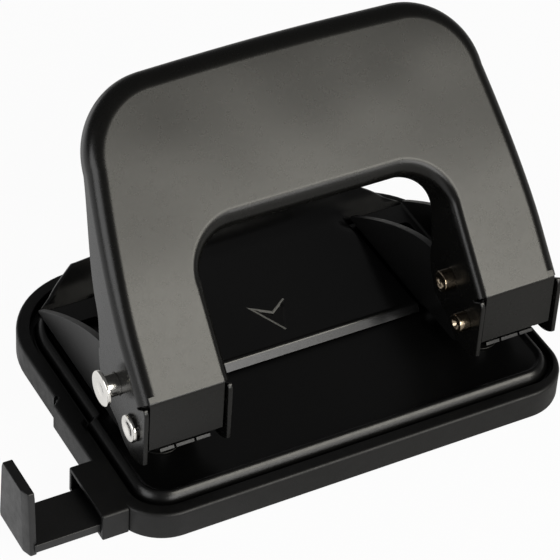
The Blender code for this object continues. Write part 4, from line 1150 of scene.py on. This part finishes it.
def glow_for_view(tree, plain, seen_share, mirrored_share, output="Material Output"):
    """Mixes a shader with a white glow for the camera and, in its own share, for reflections and transmission."""
    path = add_node(tree, "ShaderNodeLightPath", {})
    shares = {"Is Camera Ray": seen_share, "Is Glossy Ray": mirrored_share, "Is Transmission Ray": mirrored_share}
    total = 0.0
    for ray, share in shares.items():
        total = calculate(tree, "MAXIMUM", total, calculate(tree, "MULTIPLY", path.outputs[ray], share))
    glow = add_node(tree, "ShaderNodeEmission", {"Strength": 1.0})
    inputs = {"Fac": total, 1: plain.outputs[0], 2: glow.outputs["Emission"]}
    mix = add_node(tree, "ShaderNodeMixShader", inputs)
    tree.links.new(mix.outputs["Shader"], tree.nodes[output].inputs["Surface"])


def stage_object(name, work, look_name, grey):
    """Makes an object of a bmesh, and gives it with its material's node tree and its plain grey shader."""
    mesh = bpy.data.meshes.new(name)
    work.to_mesh(mesh)
    work.free()
    look = bpy.data.materials.new(look_name)
    look.use_nodes = True
    tree = look.node_tree
    tree.nodes.remove(tree.nodes["Principled BSDF"])
    plain = add_node(tree, "ShaderNodeBsdfDiffuse", {"Color": (grey, grey, grey, 1.0)})
    mesh.materials.append(look)
    return new_object(name, mesh), tree, plain


def make_floor():
    """A pale floor whose glow, as seen in reflections, is much brighter to the object's left: a painted reflection
    that lightens the object's left-facing sides.
    """
    work = bmesh.new()
    bmesh.ops.create_circle(work, cap_ends=True, segments=96, radius=FLOOR_RADIUS)
    floor, tree, plain = stage_object("floor", work, "floor_white", FLOOR_GREY)
    spot = add_node(tree, "ShaderNodeSeparateXYZ", {"Vector": object_place(tree)})
    reflected_glow = remap(tree, spot.outputs["X"], LEFT_GLOW, MIRRORED_GLOW, *LEFT_GLOW_SPAN)
    glow_for_view(tree, plain, FLOOR_GLOW, reflected_glow)


def make_room():
    """Dark walls that hang from a dark ceiling, so that reflections show pale only low down."""
    low, high = ROOM_OPENING, ROOM_HEIGHT
    radius = ROOM_RADIUS
    work = bmesh.new()
    bmesh.ops.create_cone(work, cap_ends=True, segments=96, radius1=radius, radius2=radius, depth=high - low)
    bottom = [f for f in work.faces if len(f.verts) > 4 and f.calc_center_median().z < 0]
    bmesh.ops.delete(work, geom=bottom, context="FACES_ONLY")
    room, tree, plain = stage_object("room", work, "room_dark", ROOM_GREY)
    room.location = (0, 0, (low + high) / 2)
    glow_for_view(tree, plain, 1.0, ROOM_MIRRORED)


def make_world():
    world = bpy.data.worlds.new("studio")
    bpy.context.scene.world = world
    world.use_nodes = True
    plain = world.node_tree.nodes["Background"]
    plain.inputs["Color"].default_value = (1.0, 1.0, 1.0, 1.0)
    plain.inputs["Strength"].default_value = WORLD_LIGHT
    glow_for_view(world.node_tree, plain, 1.0, MIRRORED_GLOW, "World Output")


def towards(azimuth, elevation):
    """Unit vector from the object, with azimuth from the front to the right and elevation in degrees."""
    azimuth, elevation = radians(azimuth), radians(elevation)
    level = cos(elevation)
    return Vector((sin(azimuth) * level, -cos(azimuth) * level, sin(elevation)))


def aim(target, place, away, turn):
    """Puts a lamp or the camera where it looks against the vector away, turned in degrees about its own axis."""
    spin = away.to_track_quat("Z", "Y") @ Quaternion((0, 0, 1), radians(turn))
    target.matrix_world = Matrix.LocRotScale(place, spin, None)


def make_softbox(name, direction, distance, size, radiance, colour=(1.0, 1.0, 1.0), turn=0.0):
    """A rectangular softbox of the given radiance, aimed at the object from a direction (azimuth, elevation)."""
    away = towards(*direction)
    lamp = bpy.data.lights.new(name, "AREA")
    lamp.shape = "RECTANGLE"
    lamp.size, lamp.size_y = size
    lamp.energy = radiance * pi * size[0] * size[1]
    lamp.color = colour
    aim(new_object(name, lamp), Vector(SOFTBOX_AIM) + away * distance, away, turn)


def make_camera():
    lens = bpy.data.cameras.new("camera")
    lens.sensor_width = 36.0
    lens.lens = CAMERA_LENS
    lens.clip_start = 0.01
    camera = new_object("camera", lens)
    aim(camera, Vector(CAMERA_PLACE), towards(CAMERA_AZIMUTH, CAMERA_ELEVATION), CAMERA_ROLL)
    bpy.context.scene.camera = camera


bpy.context.scene.view_settings.view_transform = "Standard"
make_camera()
dress()
make_floor()
make_room()
make_world()
make_softbox("key_softbox", (9.0, 17.0), 0.9, (0.5, 0.24), 7.5, (1.0, 0.99, 0.97))
make_softbox("high_softbox", (26.5, 33.4), 0.9, (0.57, 0.2), 11.9, (1.0, 0.968, 0.87), turn=-24.0)
make_softbox("side_softbox", (-80.0, 20.0), 1.1, (0.75, 0.5), 3.6)
